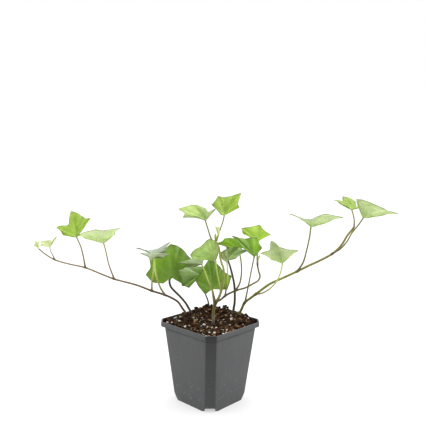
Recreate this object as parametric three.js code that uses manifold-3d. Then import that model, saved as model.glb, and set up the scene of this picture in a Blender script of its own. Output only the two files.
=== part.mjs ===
// A young ivy in its square nursery pot: a thin pot, a fill of bark compost with its
// perlite, and six rooted cuttings whose canes carry the leaves on long stalks.
// Millimetres, +Z up, the origin under the middle of the pot, +X along the two long runners.
import * as THREE from 'three';
import { mergeVertices } from 'three/addons/utils/BufferGeometryUtils.js';
import Module from 'manifold-3d';

const wasm = await Module();
wasm.setup();

// ---------------------------------------------------------------- driving dimensions
const GAP = 0.3; // clearance between pieces that touch
const WELD = 1e-4; // points closer than this are one
const TURN = THREE.MathUtils.degToRad(46.5); // the pot stands with a corner to the front

const POT = {
  height: 94,
  rimSide: 90, // outside width of the rim band
  rimBand: 5.5, // height of the rim band
  rimCut: 8.9, // how much each rim corner is cut back along a side
  shoulder: 1.6, // height of the slope under the rim band
  topSide: 83, // outside width of the wall under the rim
  footSide: 65.5, // outside width at the table
  wallCut: 8.4,
  footCut: 12.6, // the corners draw in over the last few millimetres
  footBevel: 7.5,
  underCut: 10.6, // corner cut of the hollow below the floor
  wall: 1.3,
  floorUnder: 4.6, // the floor stands clear of the table on its skirt and ribs
  floorThick: 1.5,
  notchWide: 12,
  notchHigh: 4,
  notchDeep: 9,
  ribThick: 1.8,
  padRadius: 8, // moulding pad in the middle of the underside
  roundSides: 20, // facets round the pad and the drain holes
  drainRadius: 4,
  drainLong: 6, // a drain hole's cutter, longer than the floor is thick
  drainOffset: 17,
};

const SOIL = {
  level: 89.5, // general height of the compost
  cells: 32,
  chipReach: 47, // half width of the square over which bark is strewn
  fieldReach: 66, // half width of the height field, past the rim's corners
  lump: 1.1, // height of the crumbs
  chips: 30,
  chipLong: [3, 6.5],
  chipThick: [1.2, 2.4],
  chipSlim: 0.6, // width of a chip, of its length
  chipRise: 0.6, // how far up the crumbs it lies
  bury: 15, // how far the cane ends are set in
  headroom: 30, // room above the rim for the heaps
  seed: 20,
};
// broad heaps of the compost: [x, y, height, radius]
const HEAPS = [
  [-3, 37, 11, 10], [-27, 18, 6.5, 8], [17, 31, 6.5, 7], [28, 18, 4.5, 8], [42, 12, 5, 8],
  [3, 2, 3.5, 14], [-45, 4, 1.5, 10],
];

const BLADE = {
  thick: 0.8,
  gapSteps: 4, // points between two lobe tips
  footSteps: 3, // points from the last lobe to the stalk
  rings: [0.52, 1], // how far out the rings of points lie
  heel: 0.8, // how far the blade reaches behind the stalk
  dome: 0.055, // how far the blade arches between foot and edge, of that distance
  wave: 0.06, // how far the edge rises between two lobes, of its distance from the foot
  basalRound: 0.13,
  steepest: 0.5, // the least that a slope counts in the thickness
  softDip: 0.04, // a shallower dip than this leaves the lobe rounded
};

const CANE = {
  sides: 6,
  step: 7.5, // spacing of the rings along a cane
  stalkRoot: 0.75, // radius of a leaf stalk where it leaves the cane
  stalkEnd: 0.55,
  knuckle: 1.15, // radius of the swollen joint at a stalk's root
  stopShort: 1.2, // how far from the blade's middle surface a stalk ends
  leastSteps: 3, // the fewest rings on a short stalk, less one
  bladeRoom: 0.6, // what is cut from a cane round each face of its leaves
};

const TONE = {
  pot: { color: 0x4b4c4e, roughness: 0.5, metalness: 0 },
  soil: { color: 0x3a271b, roughness: 0.95, metalness: 0 },
  cane: { color: 0x75684c, roughness: 0.6, metalness: 0 },
  young: { color: 0xa4c83c, roughness: 0.45, metalness: 0 },
  pale: { color: 0xbdd48a, roughness: 0.5, metalness: 0 },
  grown: { color: 0x5f8a34, roughness: 0.4, metalness: 0 },
};

// ---------------------------------------------------------------- the canes
// girth: radius at the root and at the tip; path: from the compost to the last leaf;
// stalks: the leaf stalks and buds that grow from it, each from the cane outwards.
const CANES = {
  stem_left_runner: {
    girth: [1.15, 0.6],
    path: [
      [-29.5, 16, 97], [-34, 16, 104], [-39, 15, 111.5], [-46, 13.5, 116.5], [-54, 12, 120.5],
      [-69.5, 8, 126.5], [-87, 5, 134], [-112, 0, 142], [-125, -2, 147.5], [-144.5, -6, 156.5],
      [-163.5, -9, 161.5], [-177.5, -12, 166.5], [-188, -14, 173.5], [-193, -15, 178],
      [-194.5, -16, 180],
    ],
    stalks: {
      leaf_left_2: [
        [-178, -12, 167], [-180, -12, 172], [-182.5, -12, 177], [-183, -12, 181.5],
      ],
      leaf_left_3: [
        [-144.5, -6, 157], [-146.5, -7, 170.5], [-149, -7, 181], [-154, -6, 192],
      ],
      leaf_left_4: [
        [-112.5, 0, 142.5], [-118, -1, 158.5], [-121.5, -3, 176.5], [-123.5, -4, 185],
      ],
      leaf_left_5: [
        [-69.5, 8, 127], [-68.5, 1, 138.5], [-66.5, -2, 151.5], [-65.5, -4, 162.5],
        [-65.5, -5, 171],
      ],
      leaf_left_6: [
        [-54, 10, 121], [-59, 2, 132.5], [-62.5, -8, 148], [-63, -18, 161], [-63, -25, 173],
      ],
    },
  },
  stem_back_left: {
    girth: [1.05, 0.85],
    path: [
      [-24, 20, 98], [-26.5, 21, 102.5], [-30, 21, 108.5], [-37, 20, 117], [-43.5, 20, 123.5],
      [-47.5, 20, 128], [-49.5, 20, 133.5], [-49, 18, 138.5], [-46.5, 14, 142],
    ],
    stalks: {},
  },
  stem_back: {
    girth: [0.8, 0.6],
    path: [
      [-2, 35.5, 102], [-3.5, 33, 109.5], [-6, 29, 117], [-9, 22, 129.5], [-11, 17, 139.5],
      [-12.5, 14, 144.5],
    ],
    stalks: {},
  },
  stem_centre: {
    girth: [1.8, 0.65],
    path: [
      [3.5, -9, 93], [3.5, -2, 99.5], [4.5, -2, 110.5], [6.5, -3, 116.5], [10, -5, 123.5],
      [13, -6, 133.5], [15, -6, 147.5], [14.5, -5, 158], [12.5, -4, 163], [10.5, -3, 170.5],
      [10, -2, 177], [8.5, -1, 183], [6, 0, 187.5],
    ],
    stalks: {
      leaf_mid_left_high: [
        [4.5, -3, 112.5], [3, -6, 123.5], [1, -9, 135], [-3, -10, 144.5], [-8, -9, 157.5],
        [-10.5, -8, 162.5],
      ],
      leaf_front: [
        [6, -2, 116], [4, -1, 124.5], [2.5, 0, 130], [2, 1, 132],
      ],
      leaf_centre_pale: [
        [7, -4, 117], [11, -8, 127], [10.5, -10, 138], [8, -10, 149.5], [6.5, -9, 158.5],
        [5.5, -8, 167.5],
      ],
      leaf_top_left: [
        [6, 0, 187], [1, 1, 189.5], [-4, 2, 202.5], [-7, 3, 212],
      ],
      leaf_top_right: [
        [6, 0, 188], [10, 2, 200.5], [14, 4, 213], [15, 5, 218.5],
      ],
      leaf_top_bud: [
        [6, 0, 188.5], [6.5, -2, 193], [8, -3, 196.5],
      ],
      bud_1: [
        [6, 0, 188.5], [4.5, -1, 192.5], [5, -2, 197.5],
      ],
    },
  },
  branch_right: {
    grownFrom: 'stem_centre',
    girth: [0.9, 0.6],
    path: [
      [8.5, -4, 118], [12.5, -2, 120], [17, 0, 123.5], [23, 2, 126.5], [31, 4, 129.5],
      [41, 6, 132], [50.5, 9, 136.5], [56, 11, 139.5], [58.5, 13, 144], [57, 15, 150],
      [55.5, 16, 157.5], [55, 17, 168], [55, 18, 177.5], [55, 18, 185.5],
    ],
    stalks: {
      leaf_small_mid: [
        [17, 0, 123.5], [18.5, -5, 136.5], [19.5, -7, 150], [18.5, -8, 165],
      ],
      leaf_behind: [
        [29.5, 3, 129.5], [34.5, 8, 137.5], [36.5, 14, 149], [36, 18, 160.5], [34.5, 22, 169.5],
        [34, 24, 174],
      ],
      bud_2: [
        [55.5, 16, 158.5], [56, 14, 165], [57.5, 12, 170],
      ],
    },
  },
  stem_right_thick: {
    girth: [1.1, 0.75],
    path: [
      [27.5, 17, 97], [28, 18, 103], [29, 17, 110.5], [29, 16, 123], [28, 14, 134.5],
      [25, 10, 148], [22, 7, 159], [19.5, 4, 165.5],
    ],
    stalks: {},
  },
  stem_right_runner: {
    girth: [1.2, 0.65],
    path: [
      [34.5, 15.5, 96.5], [37.5, 14.5, 104], [41, 13.5, 112], [47.5, 13, 117.5], [55, 13, 123.5],
      [70.5, 14, 135], [85, 16, 141.5], [104, 17, 150.5], [117, 18, 157], [130.5, 20, 163],
      [146, 22, 171.5], [156, 24, 181], [164, 26, 193.5], [171.5, 28, 202],
    ],
    stalks: {
      leaf_right_1: [
        [41, 13, 111.5], [42.5, 13, 119.5], [44.5, 12, 131], [47, 8, 148], [49, 5, 161],
        [50.5, 3, 170],
      ],
      leaf_right_2: [
        [54, 13, 122.5], [61, 9, 125], [69, 8, 130], [76, 7, 137.5], [80.5, 6, 146.5],
        [83, 5, 156.5], [83.5, 4, 162.5],
      ],
      leaf_right_3: [
        [103.5, 17, 150.5], [109.5, 15, 161.5], [113, 13, 177], [115.5, 11, 192.5],
        [116.5, 10, 204.5],
      ],
      leaf_right_4: [
        [171.5, 28, 201.5], [171.5, 28, 210], [170, 28, 217.5], [167.5, 27, 224],
      ],
      leaf_right_5: [
        [145, 22, 171], [153.5, 18, 177.5], [161.5, 19, 186.5], [167.5, 20, 197], [175, 21, 206.5],
        [180.5, 22, 214.5],
      ],
    },
  },
};

// ---------------------------------------------------------------- the leaves
// foot: where the stalk meets the blade; lobes: from there to each lobe tip, round the edge;
// dips: how deep the edge cuts back between one lobe and the next.
const LEAVES = {
  leaf_left_1: {
    on: 'stem_left_runner',
    tone: 'young',
    foot: [-194.5, -16, 180],
    lobes: [
      [-4, -4, 4.5], [-0.5, -9, 11], [1.5, -4, 9.5],
    ],
    dips: [0.1, 0.15],
  },
  leaf_left_2: {
    on: 'stem_left_runner',
    tone: 'pale',
    foot: [-183, -12, 181.5],
    lobes: [
      [-0.5, -16, 3], [-7, -12, 3], [-13, 6, 5.5], [-6, 14, 5], [6.5, 6, 11],
    ],
    dips: [0.1, 0.1, 0.1, 0.35],
  },
  leaf_left_3: {
    on: 'stem_left_runner',
    tone: 'young',
    foot: [-154, -6, 192],
    lobes: [
      [-13.5, -6, 3], [-21.5, -5, 11.5], [-9.5, 16, 28], [3.5, 16, 22], [14, 12, 20.5], [8, 3, 10],
    ],
    dips: [0.05, 0.34, 0.0, 0.1, 0.05],
  },
  leaf_left_4: {
    on: 'stem_left_runner',
    tone: 'pale',
    foot: [-123.5, -4, 185],
    lobes: [
      [13.5, -4, 11], [22.5, -20, 20.5], [6.5, -30, 19], [-12.5, -28, 17.5], [-25.5, -20, 11],
      [-20.5, -8, 7],
    ],
    dips: [0.15, 0.12, 0.0, 0.05, 0],
  },
  leaf_left_5: {
    on: 'stem_left_runner',
    tone: 'grown',
    foot: [-65.5, -5, 171],
    lobes: [
      [-8.5, -4, 7], [-20.5, -3, 9.5], [-4, 17, 3.5], [18.5, 9, 15.5], [14, -3, 6.5],
    ],
    dips: [0.0, 0.35, 0.25, 0.1],
  },
  leaf_left_6: {
    on: 'stem_left_runner',
    tone: 'grown',
    foot: [-63, -25, 173],
    lobes: [
      [-2, -15, -1], [-15, -7, 6.5], [0.5, 11, 3.5], [17, 3, 3.5], [10.5, -9, 1.5],
    ],
    dips: [0.25, 0.15, 0.1, 0.05],
  },
  leaf_back_left: {
    on: 'stem_back_left',
    tone: 'grown',
    foot: [-46.5, 14, 142],
    lobes: [
      [-10, -2, -7.5], [-22, -4, -5.5], [-30, -5, 3], [-26, -1, 23.5], [-2, 10, 38], [8, 12, 34.5],
      [18, 12, 24.5], [26, 13, 11], [18, 10, -14.5],
    ],
    dips: [0, 0.0, 0.1, 0.06, 0.0, 0.0, 0.0, 0.0],
  },
  leaf_back: {
    on: 'stem_back',
    tone: 'grown',
    foot: [-12.5, 14, 144.5],
    lobes: [
      [-12.5, -16, -11.5], [-21, -14, -9.5], [-26.5, -10, 7.5], [-18, 0, 9.5], [1.5, 5, 9.5],
      [5, 1, 5],
    ],
    dips: [0.0, 0.05, 0.05, 0.0, 0.0],
  },
  leaf_mid_left_high: {
    on: 'stem_centre',
    tone: 'grown',
    foot: [-10.5, -8, 162.5],
    lobes: [
      [-12, -6, -2], [-26, 0, 1.5], [-14, 14, 2.5], [2, 14, 2],
    ],
    dips: [0.0, 0.1, 0.05],
  },
  leaf_front: {
    on: 'stem_centre',
    tone: 'grown',
    foot: [2, 1, 132],
    lobes: [
      [-8, -5, -6], [-15.5, -4, 2.5], [-20.5, -3, 10.5], [-9.5, 6, 25.5], [-3.5, 11, 32],
      [5, 10, 27.5], [12, 7, 20], [22.5, 3, 14.5], [17.5, -3, -0.5],
    ],
    dips: [0.0, 0.0, 0.04, 0.0, 0.0, 0.0, 0.04, 0.0],
  },
  leaf_centre_pale: {
    on: 'stem_centre',
    tone: 'pale',
    foot: [5.5, -8, 167.5],
    lobes: [
      [3.5, -4, 10.5], [2, -12, 21.5], [-4, -17, 26], [-9.5, -18, 26.5], [-17.5, -15, 18],
      [-28, -11, 9], [-26.5, -9, 2.5],
    ],
    dips: [0.0, 0.0, 0.0, 0.05, 0.0, 0.0],
  },
  leaf_top_left: {
    on: 'stem_centre',
    tone: 'pale',
    foot: [-7, 3, 212],
    lobes: [
      [-13, -17, 7], [-24.5, -17, 5], [-30.5, -9, 14], [-17, 9, 17], [-2.5, 11, 13.5], [12, 1, 13],
    ],
    dips: [0, 0.14, 0.05, 0.0, 0.34],
  },
  leaf_top_right: {
    on: 'stem_centre',
    tone: 'young',
    foot: [15, 5, 218.5],
    lobes: [
      [-3.5, -3, 0], [-15, -3, 11.5], [-7.5, 9, 21], [-0.5, 13, 19], [20, 15, 24.5],
      [16.5, 8, 15.5], [17.5, 3, 8.5],
    ],
    dips: [0.04, 0.04, 0.04, 0.06, 0.0, 0.09],
  },
  leaf_top_bud: {
    on: 'stem_centre',
    tone: 'young',
    foot: [8, -3, 196.5],
    lobes: [
      [-3.5, -3, 10], [1, 1, 9], [2, 3, 2.5],
    ],
    dips: [0.1, 0.0],
  },
  leaf_right_high: {
    on: 'stem_centre',
    tone: 'young',
    foot: [55, 18, 185.5],
    lobes: [
      [-9, -5, 5.5], [-17.5, -4, 9.5], [-19.5, -2, 16], [3, 12, 18.5], [16, 2, 8], [6, -4, 4.5],
    ],
    dips: [0.0, 0.0, 0.06, 0.12, 0.1],
  },
  leaf_small_mid: {
    on: 'stem_centre',
    tone: 'pale',
    foot: [18.5, -8, 165],
    lobes: [
      [-6, -6, 5], [-7.5, -6, 13], [0, -2, 15.5], [2, 0, 7.5],
    ],
    dips: [0.1, 0.05, 0.1],
  },
  leaf_behind: {
    on: 'stem_centre',
    tone: 'grown',
    foot: [34, 24, 174],
    lobes: [
      [-14.5, -8, 1], [-27, -4, 8], [-17.5, 8, 12.5], [-4, 12, 11.5], [9.5, 6, 7.5],
    ],
    dips: [0.2, 0.08, 0.0, 0.1],
  },
  leaf_right_thick: {
    on: 'stem_right_thick',
    tone: 'grown',
    foot: [19.5, 4, 165.5],
    lobes: [
      [-8, -3, 3.5], [-7.5, 0, 9], [1.5, 5, 12.5], [13.5, 7, 14], [22.5, -2, 11], [8.5, -14, 4.5],
    ],
    dips: [0.0, 0.0, 0.0, 0.05, 0.05],
  },
  leaf_right_1: {
    on: 'stem_right_runner',
    tone: 'grown',
    foot: [50.5, 3, 170],
    lobes: [
      [-16, -7, 13], [-27, -1, 24.5], [-11, 3, 20.5], [2.5, 5, 22], [9, 1, 10],
    ],
    dips: [0.0, 0.05, 0.0, 0.08],
  },
  leaf_right_2: {
    on: 'stem_right_runner',
    tone: 'pale',
    foot: [83.5, 4, 162.5],
    lobes: [
      [8.5, -2, 8], [16.5, -12, 17.5], [-5.5, -18, 22], [-15.5, -18, 29], [-26.5, -12, 13],
      [-14.5, 0, 5],
    ],
    dips: [0.1, 0.12, 0.0, 0.22, 0.05],
  },
  leaf_right_3: {
    on: 'stem_right_runner',
    tone: 'pale',
    foot: [116.5, 10, 204.5],
    lobes: [
      [16.5, -4, 5.5], [33, -20, 14], [10.5, -28, 19], [-4, -22, 11.5], [-29.5, -20, 18],
      [-5.5, 1, 6],
    ],
    dips: [0.05, 0.08, 0.1, 0.3, 0.0],
  },
  leaf_right_4: {
    on: 'stem_right_runner',
    tone: 'young',
    foot: [167.5, 27, 224],
    lobes: [
      [-15, -9, 6.5], [-23, -5, 11.5], [-8.5, 11, 15], [8, 15, 8.5], [9, 3, 1.5],
    ],
    dips: [0.0, 0.3, 0.0, 0.2],
  },
  leaf_right_5: {
    on: 'stem_right_runner',
    tone: 'pale',
    foot: [180.5, 22, 214.5],
    lobes: [
      [22.5, -2, 3.5], [38, -12, 7], [19.5, -16, 13], [-10, -14, 23.5], [-10, -8, 16.5],
    ],
    dips: [0.1, 0.12, 0.0, 0.0],
  },
};

// ---------------------------------------------------------------- small tools
const vec = ([x, y, z]) => new THREE.Vector3(x, y, z);

/** A repeatable run of random numbers from 0 to 1, by a linear congruence. */
function randomRun(seed) {
  const [factor, step, range] = [1664525, 1013904223, 2 ** 32];
  let state = seed;
  return () => {
    state = (state * factor + step) % range;
    return state / range;
  };
}

/** An indexed geometry from a list of points and a list of corner numbers. */
function closedGeometry(points, corners) {
  const geometry = new THREE.BufferGeometry();
  geometry.setAttribute('position', new THREE.Float32BufferAttribute(points.flatMap((p) => p.toArray()), 3));
  geometry.setIndex(corners);
  return geometry;
}

/** A closed geometry as a solid that can be joined and cut. */
function toSolid(geometry) {
  const bare = geometry.clone();
  bare.deleteAttribute('normal');
  bare.deleteAttribute('uv');
  const merged = mergeVertices(bare, WELD);
  return new wasm.Manifold(new wasm.Mesh({
    numProp: 3,
    vertProperties: new Float32Array(merged.attributes.position.array),
    triVerts: new Uint32Array(merged.index.array),
  }));
}

/** A solid as an indexed geometry again. */
function toGeometry(solid) {
  const mesh = solid.getMesh();
  const geometry = new THREE.BufferGeometry();
  geometry.setAttribute('position', new THREE.BufferAttribute(mesh.vertProperties, 3));
  geometry.setIndex(new THREE.BufferAttribute(mesh.triVerts, 1));
  return geometry;
}

const joined = (solids) => solids.reduce((whole, next) => whole.add(next));

/** The largest body of a solid: loose scraps are dropped and sealed hollows filled. */
const mainBody = (solid) => solid.decompose().sort((a, b) => b.volume() - a.volume())[0];

/** Rings of equal point counts, lowest first, skinned into a closed body. */
function skinRings(rings) {
  const count = rings[0].length;
  const corners = [];
  for (let level = 0; level + 1 < rings.length; level += 1) {
    for (let side = 0; side < count; side += 1) {
      const a = level * count + side;
      const b = level * count + ((side + 1) % count);
      corners.push(a, b, b + count, a, b + count, a + count);
    }
  }
  const top = (rings.length - 1) * count;
  for (let side = 1; side + 1 < count; side += 1) {
    corners.push(0, side + 1, side);
    corners.push(top, top + side, top + side + 1);
  }
  return closedGeometry(rings.flat(), corners);
}

// ---------------------------------------------------------------- the pot
/** A level square outline of the given side with its corners cut off, turned with the pot. */
function cutSquare(side, cut, height) {
  const half = side / 2;
  const inner = half - cut;
  const corners = [
    [half, -inner], [half, inner], [inner, half], [-inner, half],
    [-half, inner], [-half, -inner], [-inner, -half], [inner, -half],
  ];
  return corners.map(([x, y]) => new THREE.Vector3(x, y, height));
}

/** A closed body through square sections, each given as its side, corner cut and height. */
const stack = (sections) => toSolid(skinRings(sections.map(([side, cut, z]) => cutSquare(side, cut, z))));

/** Outside width of the sloping wall at a height. */
function wallSide(height) {
  const bandFoot = POT.height - POT.rimBand - POT.shoulder;
  return THREE.MathUtils.lerp(POT.footSide, POT.topSide, height / bandFoot);
}

/** The space inside the pot, drawn in all round by an inset. */
function potInside(inset, top) {
  const off = 2 * (POT.wall + inset);
  const ledge = POT.height - POT.rimBand + inset;
  const floor = POT.floorUnder + POT.floorThick + inset;
  return stack([
    [wallSide(floor) - off, POT.wallCut, floor],
    [wallSide(ledge - POT.shoulder) - off, POT.wallCut, ledge - POT.shoulder],
    [POT.rimSide - off, POT.rimCut, ledge],
    [POT.rimSide - off, POT.rimCut, top],
  ]);
}

/** A box with its middle at the given place, turned about its upright axis. */
function placedBox(width, depth, height, x, y, z, turn = 0) {
  const box = new THREE.BoxGeometry(width, depth, height);
  box.rotateZ(turn);
  box.translate(x, y, z);
  return toSolid(box);
}

/** An upright round bar with its middle at the given place. */
function uprightCylinder(radius, height, x, y, middle) {
  const cylinder = new THREE.CylinderGeometry(radius, radius, height, POT.roundSides);
  cylinder.rotateX(Math.PI / 2);
  cylinder.translate(x, y, middle);
  return toSolid(cylinder);
}

/** The square pot: thin wall, rim band, floor on ribs, and its notches and drain holes. */
function buildPot() {
  const bandFoot = POT.height - POT.rimBand;
  const outside = stack([
    [POT.footSide, POT.footCut, 0],
    [wallSide(POT.footBevel), POT.wallCut, POT.footBevel],
    [POT.topSide, POT.wallCut, bandFoot - POT.shoulder],
    [POT.rimSide, POT.rimCut, bandFoot],
    [POT.rimSide, POT.rimCut, POT.height],
  ]);
  const off = 2 * POT.wall;
  const under = stack([
    [POT.footSide - off, POT.footCut, -1],
    [wallSide(POT.floorUnder) - off, POT.underCut, POT.floorUnder],
  ]);
  const ribHigh = POT.floorUnder + GAP; // the ribs and the pad run into the floor
  const ribLong = POT.footSide - POT.wall;
  let pot = outside.subtract(potInside(0, POT.height + 1)).subtract(under);
  pot = pot.add(placedBox(ribLong, POT.ribThick, ribHigh, 0, 0, ribHigh / 2));
  pot = pot.add(placedBox(POT.ribThick, ribLong, ribHigh, 0, 0, ribHigh / 2));
  pot = pot.add(uprightCylinder(POT.padRadius, ribHigh, 0, 0, ribHigh / 2));
  for (const [sx, sy] of [[1, 1], [1, -1], [-1, 1], [-1, -1]]) {
    const corner = POT.footSide / 2 - POT.footCut / 2;
    const drain = uprightCylinder(
      POT.drainRadius, POT.drainLong, sx * POT.drainOffset, sy * POT.drainOffset, POT.floorUnder,
    );
    pot = pot.subtract(placedBox(
      POT.notchWide, POT.notchDeep, 2 * POT.notchHigh, sx * corner, sy * corner, 0, -sx * sy * Math.PI / 4,
    ));
    pot = pot.subtract(drain);
  }
  const geometry = toGeometry(pot);
  geometry.rotateZ(TURN);
  return geometry;
}

// ---------------------------------------------------------------- canes and stalks
/** A tapered tube along a smooth curve through the points, closed at both ends. */
function taperedTube(points, startRadius, endRadius, swell = 0) {
  const curve = new THREE.CatmullRomCurve3(points.map(vec), false, 'centripetal');
  const steps = Math.max(CANE.leastSteps, Math.round(curve.getLength() / CANE.step));
  const frames = curve.computeFrenetFrames(steps, false);
  const rings = [];
  for (let i = 0; i <= steps; i += 1) {
    const middle = curve.getPointAt(i / steps);
    if (i === 0) middle.addScaledVector(frames.tangents[0], -swell);
    const radius = THREE.MathUtils.lerp(startRadius, endRadius, i / steps) + swell;
    const ring = [];
    for (let side = 0; side < CANE.sides; side += 1) {
      const angle = (2 * Math.PI * side) / CANE.sides;
      ring.push(middle.clone()
        .addScaledVector(frames.normals[i], radius * Math.cos(angle))
        .addScaledVector(frames.binormals[i], radius * Math.sin(angle)));
    }
    rings.push(ring);
  }
  return skinRings(rings);
}

/** The points with the last one drawn back, so that the tube ends just short of its blade. */
function endedShort(points) {
  const end = vec(points[points.length - 1]);
  const back = vec(points[points.length - 2]).sub(end).setLength(CANE.stopShort);
  return [...points.slice(0, -1), end.add(back).toArray()];
}

/** The cane's points, with its buried, upright end added below the compost. */
function canePath(cane) {
  const path = endedShort(cane.path);
  if (cane.grownFrom) return path;
  const [x, y, z] = path[0];
  return [[x, y, z - SOIL.bury], [x, y, z - SOIL.bury / 2], ...path];
}

/** The bare cane, or with a swell the hole that it needs in the compost. */
function caneTube(cane, swell = 0) {
  return toSolid(taperedTube(canePath(cane), cane.girth[0], cane.girth[1], swell));
}

/** A cane with the swollen joint and the stalk of each leaf that it carries. */
function caneWithStalks(cane) {
  const parts = [caneTube(cane)];
  for (const stalk of Object.values(cane.stalks)) {
    parts.push(toSolid(taperedTube(endedShort(stalk), CANE.stalkRoot, CANE.stalkEnd)));
    const knuckle = new THREE.IcosahedronGeometry(CANE.knuckle, 0);
    knuckle.translate(...stalk[0]);
    parts.push(toSolid(knuckle));
  }
  return joined(parts);
}

// ---------------------------------------------------------------- leaf blades
/** The edge's heading at a lobe, leaving for lobe i + 1 or arriving from lobe i - 1. */
function edgeHeading(tips, dips, i, leaving) {
  const soft = i > 0 && i < tips.length - 1 && dips[i - 1] < BLADE.softDip && dips[i] < BLADE.softDip;
  if (soft) return tips[i + 1].clone().sub(tips[i - 1]).multiplyScalar(0.5);
  return leaving ? tips[i + 1].clone().sub(tips[i]) : tips[i].clone().sub(tips[i - 1]);
}

/** The point at t on a smooth curve from a to b with the given headings at its two ends. */
function smoothStretch(a, leaving, b, arriving, t) {
  const t2 = t * t;
  const t3 = t2 * t;
  return a.clone().multiplyScalar(2 * t3 - 3 * t2 + 1)
    .addScaledVector(leaving, t3 - 2 * t2 + t)
    .addScaledVector(b, 3 * t2 - 2 * t3)
    .addScaledVector(arriving, t3 - t2);
}

/** The way a blade's upper side looks: the mean of the normals between its lobes. */
function bladeUp(leaf) {
  const tips = leaf.lobes.map(vec);
  const up = new THREE.Vector3();
  for (let i = 0; i + 1 < tips.length; i += 1) up.add(tips[i + 1].clone().cross(tips[i]));
  return up.normalize();
}

/** The short reach of the blade behind its foot, midway between the last lobe and the first. */
function bladeHeel(tips, up) {
  const flat = tips.map((tip) => tip.clone().projectOnPlane(up));
  let span = 0;
  for (let i = 0; i + 1 < flat.length; i += 1) span += flat[i].angleTo(flat[i + 1]);
  return flat[0].applyAxisAngle(up, Math.PI - span / 2).setLength(BLADE.heel);
}

/**
 * The edge of a leaf as vectors from its foot: through every lobe tip, dipping between them.
 * Where it has no dip on either side of a lobe it runs round in a curve, not to a tip.
 */
function bladeEdge(leaf) {
  const tips = leaf.lobes.map(vec);
  const edge = [];
  for (let i = 0; i + 1 < tips.length; i += 1) {
    const leaving = edgeHeading(tips, leaf.dips, i, true);
    const arriving = edgeHeading(tips, leaf.dips, i + 1, false);
    for (let k = 0; k < BLADE.gapSteps; k += 1) {
      const along = k / BLADE.gapSteps;
      const swing = Math.sin(Math.PI * along) ** 2;
      const reach = smoothStretch(tips[i], leaving, tips[i + 1], arriving, along);
      edge.push({ reach: reach.multiplyScalar(1 - leaf.dips[i] * swing), lift: swing });
    }
  }
  const heel = bladeHeel(tips, bladeUp(leaf));
  const first = tips[0];
  const final = tips[tips.length - 1];
  for (let k = 0; k < BLADE.footSteps; k += 1) {
    const along = k / BLADE.footSteps;
    const round = 1 + BLADE.basalRound * Math.sin(2 * Math.PI * along) ** 2;
    edge.push({ reach: final.clone().lerp(heel, along).multiplyScalar(round), lift: 0 });
  }
  for (let k = 0; k < BLADE.footSteps; k += 1) {
    const along = k / BLADE.footSteps;
    edge.push({ reach: heel.clone().lerp(first, along), lift: 0 });
  }
  return edge;
}

/** Points of a blade's middle surface: the foot first, then ring after ring out to the edge. */
function bladePoints(leaf, spare) {
  const edge = bladeEdge(leaf);
  const up = bladeUp(leaf);
  const foot = vec(leaf.foot);
  const points = [foot.clone()];
  for (const out of BLADE.rings) {
    for (const { reach, lift } of edge) {
      const length = reach.length();
      const rise = length * (BLADE.dome * 4 * out * (1 - out) + BLADE.wave * lift * out * out);
      const wide = reach.clone().setLength(length + spare);
      points.push(foot.clone().addScaledVector(wide, out).addScaledVector(up, rise));
    }
  }
  return { points, count: edge.length };
}

/** The triangles of one face of a blade, as numbers of its points. */
function bladeCorners(count) {
  const corners = [];
  for (let i = 0; i < count; i += 1) {
    const next = (i + 1) % count;
    corners.push([0, 1 + next, 1 + i]);
    for (let ring = 1; ring < BLADE.rings.length; ring += 1) {
      const inner = 1 + (ring - 1) * count;
      const outer = inner + count;
      corners.push([inner + i, inner + next, outer + next], [inner + i, outer + next, outer + i]);
    }
  }
  return corners;
}

/** How level the blade is at each point, from 1 where it faces up down to the steepest allowed. */
function bladeSlopes(points, face, up) {
  const normals = points.map(() => new THREE.Vector3());
  for (const [a, b, c] of face) {
    const side = points[b].clone().sub(points[a]).cross(points[c].clone().sub(points[a]));
    for (const corner of [a, b, c]) normals[corner].add(side);
  }
  return normals.map((normal) => Math.max(BLADE.steepest, normal.normalize().dot(up)));
}

/**
 * A blade with its thickness: both faces split into triangles alike, and the edge closed.
 * The faces are parted along the blade's up, more where it is steep, so they never cross.
 * With spare room it is the space that the blade needs round it.
 */
function bladeGeometry(leaf, spare = 0) {
  const thick = BLADE.thick + 2 * spare;
  const { points, count } = bladePoints(leaf, spare);
  const face = bladeCorners(count);
  const up = bladeUp(leaf);
  const half = bladeSlopes(points, face, up).map((slope) => thick / 2 / slope);
  const upper = points.map((point, i) => point.clone().addScaledVector(up, half[i]));
  const lower = points.map((point, i) => point.clone().addScaledVector(up, -half[i]));
  const under = points.length;
  const corners = face.flatMap(([a, b, c]) => [a, b, c, under + a, under + c, under + b]);
  const rim = 1 + (BLADE.rings.length - 1) * count;
  for (let i = 0; i < count; i += 1) {
    const a = rim + i;
    const b = rim + ((i + 1) % count);
    corners.push(a, b, a + under, b, b + under, a + under);
  }
  return closedGeometry([...upper, ...lower], corners);
}

// ---------------------------------------------------------------- the compost
/** Height of the compost at a place, with crumb from -1 to 1 for its roughness there. */
function soilHeight(x, y, crumb) {
  let height = SOIL.level;
  for (const [hx, hy, rise, radius] of HEAPS) {
    height += rise * Math.exp(-((x - hx) ** 2 + (y - hy) ** 2) / (2 * radius ** 2));
  }
  return height + SOIL.lump * crumb;
}

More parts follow.
